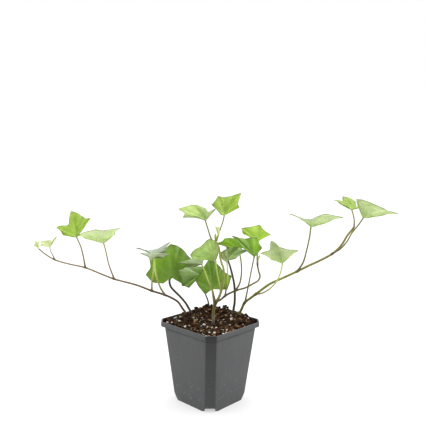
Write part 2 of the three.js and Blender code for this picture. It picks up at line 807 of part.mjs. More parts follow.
/** A lumpy field of heights over a level square, closed below. */
function heightField(random) {
  const n = SOIL.cells;
  const points = [];
  const at = (i, j) => i * (n + 1) + j;
  for (let i = 0; i <= n; i += 1) {
    for (let j = 0; j <= n; j += 1) {
      const x = SOIL.fieldReach * ((2 * i) / n - 1);
      const y = SOIL.fieldReach * ((2 * j) / n - 1);
      points.push(new THREE.Vector3(x, y, soilHeight(x, y, 2 * random() - 1)));
    }
  }
  const base = points.length;
  points.push(...points.map((p) => new THREE.Vector3(p.x, p.y, 0)));
  const corners = [];
  for (let i = 0; i < n; i += 1) {
    for (let j = 0; j < n; j += 1) {
      const [a, b, c, d] = [at(i, j), at(i + 1, j), at(i + 1, j + 1), at(i, j + 1)];
      corners.push(a, b, c, a, c, d);
      corners.push(base + a, base + c, base + b, base + a, base + d, base + c);
    }
  }
  for (let k = 0; k < n; k += 1) {
    const sides = [
      [at(k + 1, 0), at(k, 0)], [at(n, k + 1), at(n, k)], [at(k, n), at(k + 1, n)], [at(0, k), at(0, k + 1)],
    ];
    for (const [a, b] of sides) corners.push(a, b, base + b, a, base + b, base + a);
  }
  return toSolid(closedGeometry(points, corners));
}

/** A splinter of bark, lying at a random slant and half sunk in the compost. */
function barkChip(random) {
  const between = ([low, high]) => THREE.MathUtils.lerp(low, high, random());
  const long = between(SOIL.chipLong);
  const chip = new THREE.BoxGeometry(long, long * SOIL.chipSlim, between(SOIL.chipThick));
  chip.rotateX(random() - 0.5);
  chip.rotateY(random() - 0.5);
  chip.rotateZ(Math.PI * random());
  const x = SOIL.chipReach * (2 * random() - 1);
  const y = SOIL.chipReach * (2 * random() - 1);
  chip.translate(x, y, soilHeight(x, y, SOIL.chipRise));
  return toSolid(chip);
}

/** The compost, which fills the pot and leaves a plain hole round each buried cane. */
function buildSoil() {
  const random = randomRun(SOIL.seed);
  let fill = heightField(random);
  for (let i = 0; i < SOIL.chips; i += 1) fill = fill.add(barkChip(random));
  const room = potInside(GAP, POT.height + SOIL.headroom);
  fill = fill.intersect(room.transform(new THREE.Matrix4().makeRotationZ(TURN).toArray()));
  for (const cane of Object.values(CANES)) {
    if (!cane.grownFrom) fill = fill.subtract(caneTube(cane, GAP));
  }
  return toGeometry(mainBody(fill));
}

// ---------------------------------------------------------------- the whole plant
const plant = new THREE.Group();

/** Adds one named piece to the plant. */
function place(name, geometry, tone) {
  const mesh = new THREE.Mesh(geometry, new THREE.MeshStandardMaterial(tone));
  mesh.name = name;
  plant.add(mesh);
}

place('pot', buildPot(), TONE.pot);
place('soil', buildSoil(), TONE.soil);
for (const [name, cane] of Object.entries(CANES)) {
  if (cane.grownFrom) continue;
  let solid = caneWithStalks(cane);
  for (const branch of Object.values(CANES)) {
    if (branch.grownFrom === name) solid = solid.add(caneWithStalks(branch));
  }
  for (const leaf of Object.values(LEAVES)) {
    if (leaf.on === name) solid = solid.subtract(toSolid(bladeGeometry(leaf, CANE.bladeRoom)));
  }
  place(name, toGeometry(mainBody(solid)), TONE.cane);
}
for (const [name, leaf] of Object.entries(LEAVES)) {
  place(name, bladeGeometry(leaf), TONE[leaf.tone]);
}

export default plant;
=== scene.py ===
"""A young ivy in its square nursery pot: the pot, the compost, six canes and their leaves.

Sizes are in millimetres until a mesh is written, which is in metres. +Z is up, the middle of
the pot stands on the origin, and +X runs along the two long runners.
"""
import logging
import math
from collections.abc import Callable, Sequence
from dataclasses import dataclass
from enum import Enum

import bpy
import numpy as np
from bpy.types import Material, NodeSocket, NodeTree, Object
from mathutils import Matrix


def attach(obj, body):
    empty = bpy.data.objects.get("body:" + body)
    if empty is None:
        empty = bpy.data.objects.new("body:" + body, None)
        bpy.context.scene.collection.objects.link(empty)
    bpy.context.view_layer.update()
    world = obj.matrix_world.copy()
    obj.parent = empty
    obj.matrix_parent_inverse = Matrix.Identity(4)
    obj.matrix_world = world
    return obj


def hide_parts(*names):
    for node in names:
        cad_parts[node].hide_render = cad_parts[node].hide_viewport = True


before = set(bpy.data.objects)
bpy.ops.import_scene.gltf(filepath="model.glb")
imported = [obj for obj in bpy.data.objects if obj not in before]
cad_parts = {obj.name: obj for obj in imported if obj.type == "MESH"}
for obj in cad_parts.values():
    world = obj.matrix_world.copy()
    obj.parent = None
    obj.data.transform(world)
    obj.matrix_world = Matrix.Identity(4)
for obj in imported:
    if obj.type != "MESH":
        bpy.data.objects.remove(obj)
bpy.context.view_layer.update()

log = logging.getLogger("ivy")
Array = np.ndarray
Colour = tuple[float, float, float]
Point = tuple[float, float, float]
Pair = tuple[float, float]

MM = 0.001
BODY = "root"
TURN = math.radians(46.5)  # the pot stands with a corner to the front


# ------------ numbers and colours
def linear(colour: Colour) -> Array:
    """A screen colour, 0 to 255, as the amount of light in it, by the usual screen curve."""
    share = np.asarray(colour, float) / 255
    return np.where(share <= 0.04045, share / 12.92, ((share + 0.055) / 1.055) ** 2.4)


def paint(colour: Colour) -> tuple[float, float, float, float]:
    """A screen colour for a colour socket."""
    return (*linear(colour), 1.0)


def ease(value: Array, low: float = 0.0, high: float = 1.0) -> Array:
    """0 below low, 1 above high, and the smooth step 3t² - 2t³ between."""
    t = np.clip((value - low) / (high - low), 0, 1)
    return t * t * (3 - 2 * t)


def blend(a: Array, b: Array, share: Array) -> Array:
    """From a to b by a share from 0 to 1, one share for each row."""
    return a + (b - a) * np.asarray(share)[..., None]


def unit(vectors: Array) -> Array:
    """The vectors with their lengths made 1."""
    return vectors / np.maximum(np.linalg.norm(vectors, axis=-1, keepdims=True), 1e-9)


def turned(points: Array, angle: float) -> Array:
    """The points turned about the upright axis."""
    c, s = math.cos(angle), math.sin(angle)
    return points @ np.array([[c, s, 0], [-s, c, 0], [0, 0, 1]])


def hermite(start: Array, leaving: Array, end: Array, arriving: Array, t: Array) -> Array:
    """A cubic stretch between two points.

    Formula: start (2t³ - 3t² + 1) + leaving (t³ - 2t² + t) + end (3t² - 2t³) + arriving (t³ - t²).

    Args:
        start: where the stretch begins.
        leaving: its heading there.
        end: where it ends.
        arriving: its heading there.
        t: how far along it, from 0 to 1.

    Returns:
        The points at every t.
    """
    t2, t3 = t * t, t * t * t
    first, last = 2 * t3 - 3 * t2 + 1, 3 * t2 - 2 * t3
    return start * first + leaving * (t3 - 2 * t2 + t) + end * last + arriving * (t3 - t2)


def value_noise(x: Array, y: Array, cell: float, seed: int) -> Array:
    """Smooth random values from -1 to 1 over a plane.

    Formula: a random value at each corner of square cells, eased between the corners along
    both axes by 3t² - 2t³.

    Args:
        x: places along the first axis.
        y: places along the second axis.
        cell: width of a cell.
        seed: names the run of random numbers.

    Returns:
        One value for each place.
    """
    size = 128
    table = np.random.default_rng(seed).uniform(-1, 1, (size, size))
    column, row = np.floor(x / cell).astype(int), np.floor(y / cell).astype(int)
    tx, ty = ease(x / cell - column), ease(y / cell - row)
    left, right = column % size, (column + 1) % size
    low, high = row % size, (row + 1) % size
    near = table[left, low] * (1 - tx) + table[right, low] * tx
    far = table[left, high] * (1 - tx) + table[right, high] * tx
    return near * (1 - ty) + far * ty


# ------------ surfaces
@dataclass
class Surface:
    """Points in millimetres, faces by their corner numbers, and values that the points carry."""

    points: Array  # one row for each point
    faces: list[Array]  # tables of faces, each with one number of corners
    marks: dict[str, Array]  # named values, one for each point

    @staticmethod
    def joined(parts: Sequence["Surface"]) -> "Surface":
        """Several surfaces as one, each point keeping its marks.

        Args:
            parts: surfaces with the same marks.

        Returns:
            One surface with all their points and faces.
        """
        starts = np.cumsum([0] + [len(part.points) for part in parts[:-1]])
        faces = [table + start for part, start in zip(parts, starts) for table in part.faces]
        marks = {key: np.concatenate([part.marks[key] for part in parts]) for key in parts[0].marks}
        return Surface(np.concatenate([part.points for part in parts]), faces, marks)

    def mesh_object(self, name: str) -> Object:
        """The surface as a new object at the origin, in metres and shaded smooth.

        Args:
            name: name of the object and its mesh.

        Returns:
            The object, linked into the scene.
        """
        mesh = bpy.data.meshes.new(name)
        corners = [face for table in self.faces for face in table.tolist()]
        mesh.from_pydata((self.points * MM).tolist(), [], corners)
        for key, values in self.marks.items():
            coloured = values.ndim == 2
            kind, field = ("FLOAT_COLOR", "color") if coloured else ("FLOAT", "value")
            layer = mesh.attributes.new(key, kind, "POINT")
            full = np.column_stack([values, np.ones(len(values))]) if coloured else values
            layer.data.foreach_set(field, full.astype(np.float32).ravel())
        mesh.shade_smooth()
        made = bpy.data.objects.new(name, mesh)
        bpy.context.scene.collection.objects.link(made)
        return made


def dress(made: Object, skins: Sequence[Material], nodes: Sequence[str] = ()) -> None:
    """Gives a piece its materials and its place in the frame.

    Args:
        made: the piece.
        skins: its materials, by material number.
        nodes: the CAD nodes that it stands for, none for what lies loose.
    """
    made.data.materials.clear()
    for skin in skins:
        made.data.materials.append(skin)
    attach(made, BODY)
    if nodes:
        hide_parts(*nodes)
    log.info("%s: %d faces", made.name, len(made.data.polygons))


def band_faces(rings: Array) -> Array:
    """Faces between closed rings of point numbers, outwards where they run anticlockwise and rise."""
    following = np.roll(rings, -1, axis=1)
    return np.stack([rings[:-1], following[:-1], following[1:], rings[1:]], -1).reshape(-1, 4)


def fan_faces(middle: int, ring: Array) -> Array:
    """Triangles from a point to a closed ring, which look down where the ring runs anticlockwise."""
    return np.stack([np.full(len(ring), middle), np.roll(ring, -1), ring], -1)


def sheet_faces(numbers: Array) -> Array:
    """Four-cornered faces between neighbours in a table of point numbers."""
    corners = [numbers[:-1, :-1], numbers[1:, :-1], numbers[1:, 1:], numbers[:-1, 1:]]
    return np.stack(corners, -1).reshape(-1, 4)


def closed_rings(rings: Array, first: Array, last: Array) -> Surface:
    """A closed surface through rings of points, with a point at either end.

    Args:
        rings: the rings, one after another, each anticlockwise seen from the last.
        first: the point that closes the first ring.
        last: the point that closes the last ring.

    Returns:
        The surface, without marks.
    """
    numbers = np.arange(rings[..., 0].size).reshape(rings.shape[:2])
    foot = fan_faces(numbers.size, numbers[0])
    head = fan_faces(numbers.size + 1, numbers[-1])[:, [0, 2, 1]]
    points = np.vstack([rings.reshape(-1, 3), first[None], last[None]])
    return Surface(points, [band_faces(numbers), foot, head], {})


def prism(outline: Array, low: float, high: float) -> Surface:
    """A closed body of one outline, from a low level to a high one.

    Args:
        outline: its corners in a plane, anticlockwise.
        low: where it begins, square to the plane.
        high: where it ends.

    Returns:
        The surface, without marks.
    """
    count = len(outline)
    rings = [np.column_stack([outline, np.full(count, level)]) for level in (low, high)]
    numbers = np.arange(2 * count).reshape(2, count)
    caps = np.stack([numbers[0, ::-1], numbers[1]])
    return Surface(np.vstack(rings), [band_faces(numbers), caps], {})


def toward(angle: Array) -> Array:
    """The directions in a plane at the given angles."""
    return np.stack([np.cos(angle), np.sin(angle)], -1)


def rounded_box(width: float, height: float, radius: float, steps: int = 5) -> Array:
    """The outline of a rectangle with round corners, anticlockwise round the origin.

    Formula: each corner is a quarter circle about a middle that lies one radius in from both sides.

    Args:
        width: along the first axis.
        height: along the second axis.
        radius: of the corners.
        steps: points on each corner.

    Returns:
        The outline's points.
    """
    turn = np.linspace(0, math.pi / 2, steps)[None] + (np.arange(4) * math.pi / 2)[:, None]
    signs = np.array([[1, 1], [-1, 1], [-1, -1], [1, -1]])
    middles = signs * (np.array([width, height]) / 2 - radius)
    return (middles[:, None] + radius * toward(turn)).reshape(-1, 2)


def circle(radius: float, count: int) -> Array:
    """The outline of a circle round the origin, anticlockwise."""
    return radius * toward(np.linspace(0, 2 * math.pi, count, endpoint=False))


class Path:
    """A smooth curve through points, measured along its length."""

    fineness = 24  # points worked out from one given point to the next
    sight = 0.4  # how far each way a heading looks

    def __init__(self, points: Sequence[Point]) -> None:
        """Draws the curve.

        Formula: between two points it is a cubic, and the headings follow the centripetal
        rule, in which a stretch counts for the root of its length.

        Args:
            points: the points that it runs through.
        """
        knots = np.asarray(points, float)
        whole = np.vstack([2 * knots[0] - knots[1], knots, 2 * knots[-1] - knots[-2]])
        p0, p1, p2, p3 = whole[:-3], whole[1:-2], whole[2:-1], whole[3:]
        before, within, after = (
            np.linalg.norm(b - a, axis=1, keepdims=True) ** 0.5
            for a, b in ((p0, p1), (p1, p2), (p2, p3))
        )
        leaving = (p1 - p0) / before - (p2 - p0) / (before + within) + (p2 - p1) / within
        arriving = (p2 - p1) / within - (p3 - p1) / (within + after) + (p3 - p2) / after
        t = np.linspace(0, 1, self.fineness, endpoint=False)[None, :, None]
        stretches = [side[:, None] for side in (p1, leaving * within, p2, arriving * within)]
        self.curve = np.vstack([hermite(*stretches, t).reshape(-1, 3), knots[-1]])
        steps = np.linalg.norm(np.diff(self.curve, axis=0), axis=1)
        self.along = np.concatenate([[0], np.cumsum(steps)])
        self.length = float(self.along[-1])

    def at(self, distance: Array) -> Array:
        """The points at the given distances from the start."""
        return np.stack([np.interp(distance, self.along, axis) for axis in self.curve.T], -1)

    def heading(self, distance: Array) -> Array:
        """The directions of the curve at the given distances, from points a little apart."""
        ahead, behind = np.minimum(distance + self.sight, self.length), np.maximum(distance - self.sight, 0)
        return unit(self.at(ahead) - self.at(behind))

    def nearest(self, point: Point) -> float:
        """How far along the curve it comes nearest to a point."""
        return float(self.along[np.argmin(np.linalg.norm(self.curve - np.asarray(point), axis=1))])

    def tube(self, radius: Callable[[Array], Array], sides: int, spacing: float) -> Surface:
        """A round tube along the curve, with domed ends.

        Formula: a ring at distance s is the circle, square to the heading, of radius(s) times
        √(1 - (1 - e)²), where e is the distance to the nearer end over the radius there, at
        most 1. The circle is measured from the direction square to the heading and level.

        Args:
            radius: gives the radius at each distance.
            sides: points on a ring.
            spacing: distance between two rings.

        Returns:
            The tube, whose mark "along" is each point's distance from the start.
        """
        ends = radius(np.array([0.0, self.length]))
        dome = 1 - np.cos(np.linspace(0.25, math.pi / 2, 4))[:-1]
        body = np.linspace(ends[0], self.length - ends[1], max(3, round(self.length / spacing)))
        distance = np.concatenate([ends[0] * dome, body, (self.length - ends[1] * dome)[::-1]])
        near = np.minimum(distance / ends[0], (self.length - distance) / ends[1])
        reach = radius(distance) * np.sqrt(1 - (1 - np.clip(near, 0, 1)) ** 2)
        ahead = self.heading(distance)
        level = unit(np.cross(ahead, [0.0, 1.0, 0.0]))
        square = np.cross(ahead, level)
        across, along = circle(1.0, sides).T[:, None, :, None]
        ring = level[:, None] * across + square[:, None] * along
        rings = self.at(distance)[:, None] + ring * reach[:, None, None]
        made = closed_rings(rings, self.at(np.array(0.0)), self.at(np.array(self.length)))
        made.marks["along"] = np.concatenate([np.repeat(distance, sides), [0.0, self.length]])
        return made


# ------------ shader tools
class Wire:
    """An output socket in an expression: arithmetic on it adds Math nodes."""

    def __init__(self, shader: "Shader", socket: NodeSocket) -> None:
        """Keeps the socket and the shader that it belongs to."""
        self.shader, self.socket = shader, socket

    def maths(self, operation: str, *values: "Wire | float") -> "Wire":
        """One Math node on this or other values."""
        return self.shader.node("ShaderNodeMath", {"operation": operation}, dict(enumerate(values)))

    def __add__(self, other: "Wire | float") -> "Wire":
        """This plus another."""
        return self.maths("ADD", self, other)

    __radd__ = __add__

    def __sub__(self, other: "Wire | float") -> "Wire":
        """This less another."""
        return self.maths("SUBTRACT", self, other)

    def __rsub__(self, other: float) -> "Wire":
        """A number less this."""
        return self.maths("SUBTRACT", other, self)

    def __mul__(self, other: "Wire | float") -> "Wire":
        """This times another."""
        return self.maths("MULTIPLY", self, other)

    __rmul__ = __mul__

    def __abs__(self) -> "Wire":
        """This without its sign."""
        return self.maths("ABSOLUTE", self)

    def fraction(self) -> "Wire":
        """What this is past the last whole number."""
        return self.maths("FRACT", self)

    def most(self, other: "Wire | float") -> "Wire":
        """The larger of this and another."""
        return self.maths("MAXIMUM", self, other)

    def ramp(self, low: float, high: float, start: float = 0.0, end: float = 1.0) -> "Wire":
        """From start below low to end above high, smoothly."""
        inputs = dict(enumerate((self, low, high, start, end)))
        return self.shader.node("ShaderNodeMapRange", {"interpolation_type": "SMOOTHSTEP"}, inputs)


class Shader:
    """A tree of shader nodes that is built by expressions."""

    def __init__(self, tree: NodeTree, material: Material | None = None) -> None:
        """Empties the tree, and keeps the material that it belongs to."""
        self.tree, self.material = tree, material
        tree.nodes.clear()

    @classmethod
    def for_material(cls, name: str) -> "Shader":
        """The shader of a new material.

        Args:
            name: the material's name.

        Returns:
            The shader, still empty.
        """
        material = bpy.data.materials.new(name)
        material.use_nodes = True
        return cls(material.node_tree, material)

    def node(self, kind: str, settings: dict[str, object], inputs: dict[str | int, object],
             output: str | int = 0) -> Wire:
        """Adds one node.

        Args:
            kind: the node's type.
            settings: its properties, which are set first.
            inputs: values or wires for its sockets, by name or number.
            output: the socket that is wanted, by name or number.

        Returns:
            That output.
        """
        made = self.tree.nodes.new(kind)
        for key, value in settings.items():
            setattr(made, key, value)
        for key, value in inputs.items():
            if isinstance(value, Wire):
                self.tree.links.new(value.socket, made.inputs[key])
            else:
                made.inputs[key].default_value = value
        return Wire(self, made.outputs[output])

    def place(self, scale: Point = (1, 1, 1)) -> Wire:
        """The place on the piece, in metres, each axis times its scale."""
        here = self.node("ShaderNodeTexCoord", {}, {}, "Object")
        return self.node("ShaderNodeMapping", {}, {"Vector": here, "Scale": scale})

    def axis(self, vector: Wire, name: str) -> Wire:
        """One axis of a vector."""
        return self.node("ShaderNodeSeparateXYZ", {}, {0: vector}, name)

    def noise(self, where: Wire, scale: float, detail: float = 2.0, roughness: float = 0.5) -> Wire:
        """Cloudy noise about 0.5."""
        inputs = {"Vector": where, "Scale": scale, "Detail": detail, "Roughness": roughness}
        return self.node("ShaderNodeTexNoise", {}, inputs)

    def cells(self, where: Wire, scale: float, feature: str = "F1") -> Wire:
        """Distances in a pattern of cells."""
        inputs = {"Vector": where, "Scale": scale}
        return self.node("ShaderNodeTexVoronoi", {"feature": feature}, inputs, "Distance")

    def mark(self, name: str, output: str = "Fac") -> Wire:
        """A value that the piece's points carry."""
        return self.node("ShaderNodeAttribute", {"attribute_name": name}, {}, output)

    def mix(self, share: "Wire | float", a: object, b: object, how: str = "MIX") -> Wire:
        """Colour a, and colour b over it by a share."""
        settings = {"data_type": "RGBA", "blend_type": how, "clamp_factor": True}
        return self.node("ShaderNodeMix", settings, {0: share, 6: a, 7: b}, 2)

    def bump(self, height: Wire, depth: float) -> Wire:
        """The surface's direction with relief of the given depth in millimetres."""
        inputs = {"Height": height, "Distance": depth * MM, "Strength": 1.0}
        return self.node("ShaderNodeBump", {}, inputs, "Normal")

    def finished(self, inputs: dict[str, object]) -> Material:
        """Ends the tree in a principled surface.

        Args:
            inputs: values or wires for its sockets, by name.

        Returns:
            The material that the tree belongs to.
        """
        surface = self.node("ShaderNodeBsdfPrincipled", {}, inputs, "BSDF")
        end = self.tree.nodes.new("ShaderNodeOutputMaterial")
        self.tree.links.new(surface.socket, end.inputs["Surface"])
        return self.material


# ------------ finishes
@dataclass(frozen=True)
class PotPlastic:
    """Thin dark grey moulded plastic: faint upright streaks, scuffs, and dust near the foot.

    Its four corner strips and a faint line under the rim are painted darker, as painted shade.
    The strips lie on two level axes that are turned by a small angle, which the slant gives as
    its tangent. Its heights and widths are in metres, as the shader reads them.
    """

    name: str
    body: Colour
    streak: Colour
    painted_shade: Colour  # painted shade of the corner strips and the line under the rim
    dust: Colour
    dusty: float  # how much of the dust shows
    gloss: float  # strength of the reflection
    slant: float = math.tan(TURN - math.pi / 4)
    dust_high: float = 0.045  # height where the dust has thinned out
    strip: Pair = (0.0052, 0.0064)  # half widths that a strip fades between
    strip_high: float = 0.09
    strip_dark: Pair = (0.6, 0.95)  # how much painted shade it has at the foot and up there
    line_foot: Pair = (0.0835, 0.0865)  # heights that the painted shade line sets in between
    line_head: Pair = (0.0884, 0.0896)  # heights that it ends between
    line_dark: float = 0.25

    def material(self) -> Material:
        """The plastic as a material.

        Returns:
            The material.
        """
        s = Shader.for_material(self.name)
        here = s.place()
        x, y, high = (s.axis(here, name) for name in "XYZ")
        streaks = s.noise(s.place((1, 1, 0.05)), 420, 3)
        clouds = s.noise(here, 38, 3, 0.6)
        scuffs = s.noise(s.place((1, 1, 0.3)), 900, 2).ramp(0.62, 0.74) * clouds.ramp(0.5, 0.7)
        specks = s.cells(here, 270).ramp(0.1, 0.25, 1.0, 0.0) * s.noise(here, 120, 1).ramp(0.46, 0.6)
        dust = (specks + scuffs * 0.5) * high.ramp(0.0, self.dust_high, 1.0, 0.25) * self.dusty
        colour = s.mix(streaks.ramp(0.35, 0.75), paint(self.body), paint(self.streak))
        colour = s.mix(clouds.ramp(0.4, 0.8) * 0.25, colour, paint(self.streak))
        # painted shade: darker corner strips, and a dark line under the rim band
        axes = (x + y * self.slant, y - x * self.slant)
        strips = [abs(across).ramp(*self.strip, 1.0, 0.0) for across in axes]
        line = high.ramp(*self.line_foot) * high.ramp(*self.line_head, 1.0, 0.0) * self.line_dark
        shade = (strips[0].most(strips[1]) * high.ramp(0.0, self.strip_high, *self.strip_dark)).most(line)
        colour = s.mix(shade, colour, paint(self.painted_shade))
        colour = s.mix(dust, colour, paint(self.dust))
        rough = clouds.ramp(0.3, 0.7, 0.36, 0.46) + dust * 0.2 + line
        grain = s.noise(here, 2600, 2) * 0.5 + streaks * 0.5
        return s.finished({"Base Color": colour, "Roughness": rough, "Normal": s.bump(grain, 0.05),
                           "Specular IOR Level": self.gloss})


@dataclass(frozen=True)
class Litter:
    """Loose organic stuff: each bit has its own tone, from dark to light, and a rough skin."""

    name: str
    dark: Colour
    middle: Colour
    stain: Colour  # takes the middle tone's place in broad patches
    light: Colour
    grain: float  # fineness of the skin, in features a metre
    relief: float  # depth of the skin's grain, in millimetres

    def material(self) -> Material:
        """The litter as a material, which reads the mark "tone" of its points.

        Returns:
            The material.
        """
        s = Shader.for_material(self.name)
        here = s.place()
        tone = s.mark("tone")
        skin = s.noise(here, self.grain, 4, 0.65)
        clouds = s.noise(here, self.grain * 0.12, 2)
        share = tone * 0.75 + clouds * 0.35 + skin * 0.2 - 0.15
        middle = s.mix(s.noise(here, 75, 1).ramp(0.44, 0.58), paint(self.middle), paint(self.stain))
        colour = s.mix(share.ramp(0.15, 0.6), paint(self.dark), middle)
        colour = s.mix(share.ramp(0.6, 0.95), colour, paint(self.light))
        rough = skin.ramp(0.3, 0.7, 0.75, 0.95)
        return s.finished({"Base Color": colour, "Roughness": rough, "Normal": s.bump(skin, self.relief),
                           "Specular IOR Level": 0.1})


@dataclass(frozen=True)
class CaneSkin:
    """The skin of canes and stalks: its tone is carried by the points, with fine ridges and pores."""

    name: str
    joint: Colour
    pore: Colour

    def material(self) -> Material:
        """The skin as a material, which reads the marks "tint", "ripe" and "joint".

        Returns:
            The material.
        """
        s = Shader.for_material(self.name)
        here = s.place()
        ripe, joint = s.mark("ripe"), s.mark("joint")
        grain = s.noise(here, 900, 3, 0.6)
        blotch = s.noise(here, 160, 2)
        pores = s.cells(here, 700).ramp(0.12, 0.22, 1.0, 0.0) * ripe
        colour = s.mix(blotch.ramp(0.4, 0.75) * 0.22, s.mark("tint", "Color"), paint(self.joint))
        colour = s.mix(grain.ramp(0.45, 0.8) * ripe * 0.25, colour, paint(self.joint))
        colour = s.mix(joint * 0.7, colour, paint(self.joint))
        colour = s.mix(pores * 0.35, colour, paint(self.pore))
        relief = grain * ripe + pores * 0.6
        rough = ripe.ramp(0.0, 1.0, 0.42, 0.62)
        return s.finished({"Base Color": colour, "Roughness": rough, "Normal": s.bump(relief, 0.12)})


@dataclass(frozen=True)
class LeafSkin:
    """One side of a leaf blade: main veins, side veins and a fine network over the blade's own tint."""

    name: str
    vein: Colour  # what the veins run towards
    vein_show: float  # how far they run to it
    net_show: float  # strength of the fine network, of a main vein's
    rough: float  # roughness between the veins
    raised: float  # 1 where the veins stand up, -1 where they lie in
    wax: float = 0.0  # weight of the clear coat
    gloss: float = 0.5  # strength of the reflection
    cloud: Colour = (205, 214, 180)  # multiplies the tint in darker clouds

    def material(self) -> Material:
        """The skin as a material, which reads the marks "tint", "rib", "branching" and "margin".

        Returns:
            The material.
        """
        s = Shader.for_material(self.name)
        here = s.place()
        tint = s.mark("tint", "Color")
        rib = s.mark("rib").ramp(0.5, 1.5, 1.0, 0.0)
        wander = s.noise(here, 260, 1)
        away = s.mark("rib").ramp(1.0, 2.5)
        inside = s.mark("margin").ramp(0.4, 2.5)
        spread = abs((s.mark("branching") + wander * 0.5).fraction() - 0.5) * 2.0
        branches = spread.ramp(0.8, 0.97) * away * inside
        net = s.cells(here, 620, "DISTANCE_TO_EDGE").ramp(0.02, 0.13, 1.0, 0.0) * inside
        clouds = s.noise(here, 110, 3, 0.55)
        vein = rib.most(branches * 0.55).most(net * self.net_show)
        deep = s.mix(1.0, tint, paint(self.cloud), "MULTIPLY")
        colour = s.mix(clouds.ramp(0.35, 0.7) * 0.55, tint, deep)
        colour = s.mix(vein * self.vein_show, colour, paint(self.vein))
        rough = clouds.ramp(0.3, 0.7, self.rough - 0.05, self.rough + 0.06) + vein * 0.06
        relief = vein * self.raised + s.noise(here, 1400, 2) * 0.12
        return s.finished({"Base Color": colour, "Roughness": rough, "Normal": s.bump(relief, 0.16),
                           "Coat Weight": self.wax, "Coat Roughness": 0.3,
                           "Specular IOR Level": self.gloss, "Subsurface Weight": 0.12,
                           "Subsurface Radius": (0.6, 1.0, 0.25), "Subsurface Scale": 0.0012})


POT_OUTSIDE = PotPlastic(
    "pot_plastic_outside", body=(48, 49, 51), streak=(55, 56, 58), painted_shade=(22, 22, 23),
    dust=(150, 148, 142), dusty=0.7, gloss=0.7,
)
# the same plastic inside, painted nearly black with almost no gloss: painted shade of the unlit inner wall
# and lip
POT_INSIDE_PAINTED_SHADE = PotPlastic(
    "pot_plastic_inside_shaded", body=(12, 12, 13), streak=(20, 20, 20), painted_shade=(10, 10, 11),
    dust=(60, 52, 42), dusty=0.5, gloss=0.02,
)
PEAT = Litter(
    "peat", dark=(14, 8, 4), middle=(52, 35, 19), stain=(54, 32, 19), light=(96, 72, 46),
    grain=2200, relief=0.5,
)
BARK = Litter(
    "bark", dark=(27, 16, 8), middle=(94, 69, 41), stain=(92, 56, 36), light=(166, 134, 97),
    grain=1500, relief=0.3,
)
PERLITE = Litter(
    "perlite", dark=(206, 200, 188), middle=(234, 230, 222), stain=(228, 218, 200),
    light=(250, 248, 244), grain=1800, relief=0.2,
)
CANE_SKIN = CaneSkin("cane_skin", joint=(84, 64, 46), pore=(170, 154, 116))


class Tone(Enum):
    """How far a leaf has ripened, each with the record's material slot."""

    YOUNG = "leaf_young"
    PALE = "leaf_pale"
    GROWN = "leaf_grown"


LEAF_SKINS = {
    Tone.YOUNG: (
        LeafSkin("young_leaf_upper", (202, 226, 130), 0.5, 0.16, 0.44, -1),
        LeafSkin("young_leaf_under", (212, 228, 160), 0.6, 0.2, 0.5, 1),
    ),
    Tone.PALE: (
        LeafSkin("pale_leaf_upper", (214, 228, 150), 0.5, 0.16, 0.46, -1),
        LeafSkin("pale_leaf_under", (222, 234, 182), 0.6, 0.2, 0.52, 1),
    ),
    Tone.GROWN: (
        LeafSkin("grown_leaf_upper", (160, 188, 84), 0.5, 0.12, 0.38, -1, wax=0.12),
        LeafSkin("grown_leaf_under", (180, 202, 120), 0.55, 0.2, 0.5, 1),
    ),
}
MATT_SKINS = (
    LeafSkin("matt_leaf_upper", (160, 188, 84), 0.5, 0.12, 0.7, -1, gloss=0.05),
    LeafSkin("matt_leaf_under", (180, 202, 120), 0.55, 0.2, 0.7, 1, gloss=0.05),
)


# ------------ studio
@dataclass(frozen=True)
class Softbox:
    """A square soft light: where it stands, its width and its power."""

    name: str
    place: Point
    width: float
    power: float


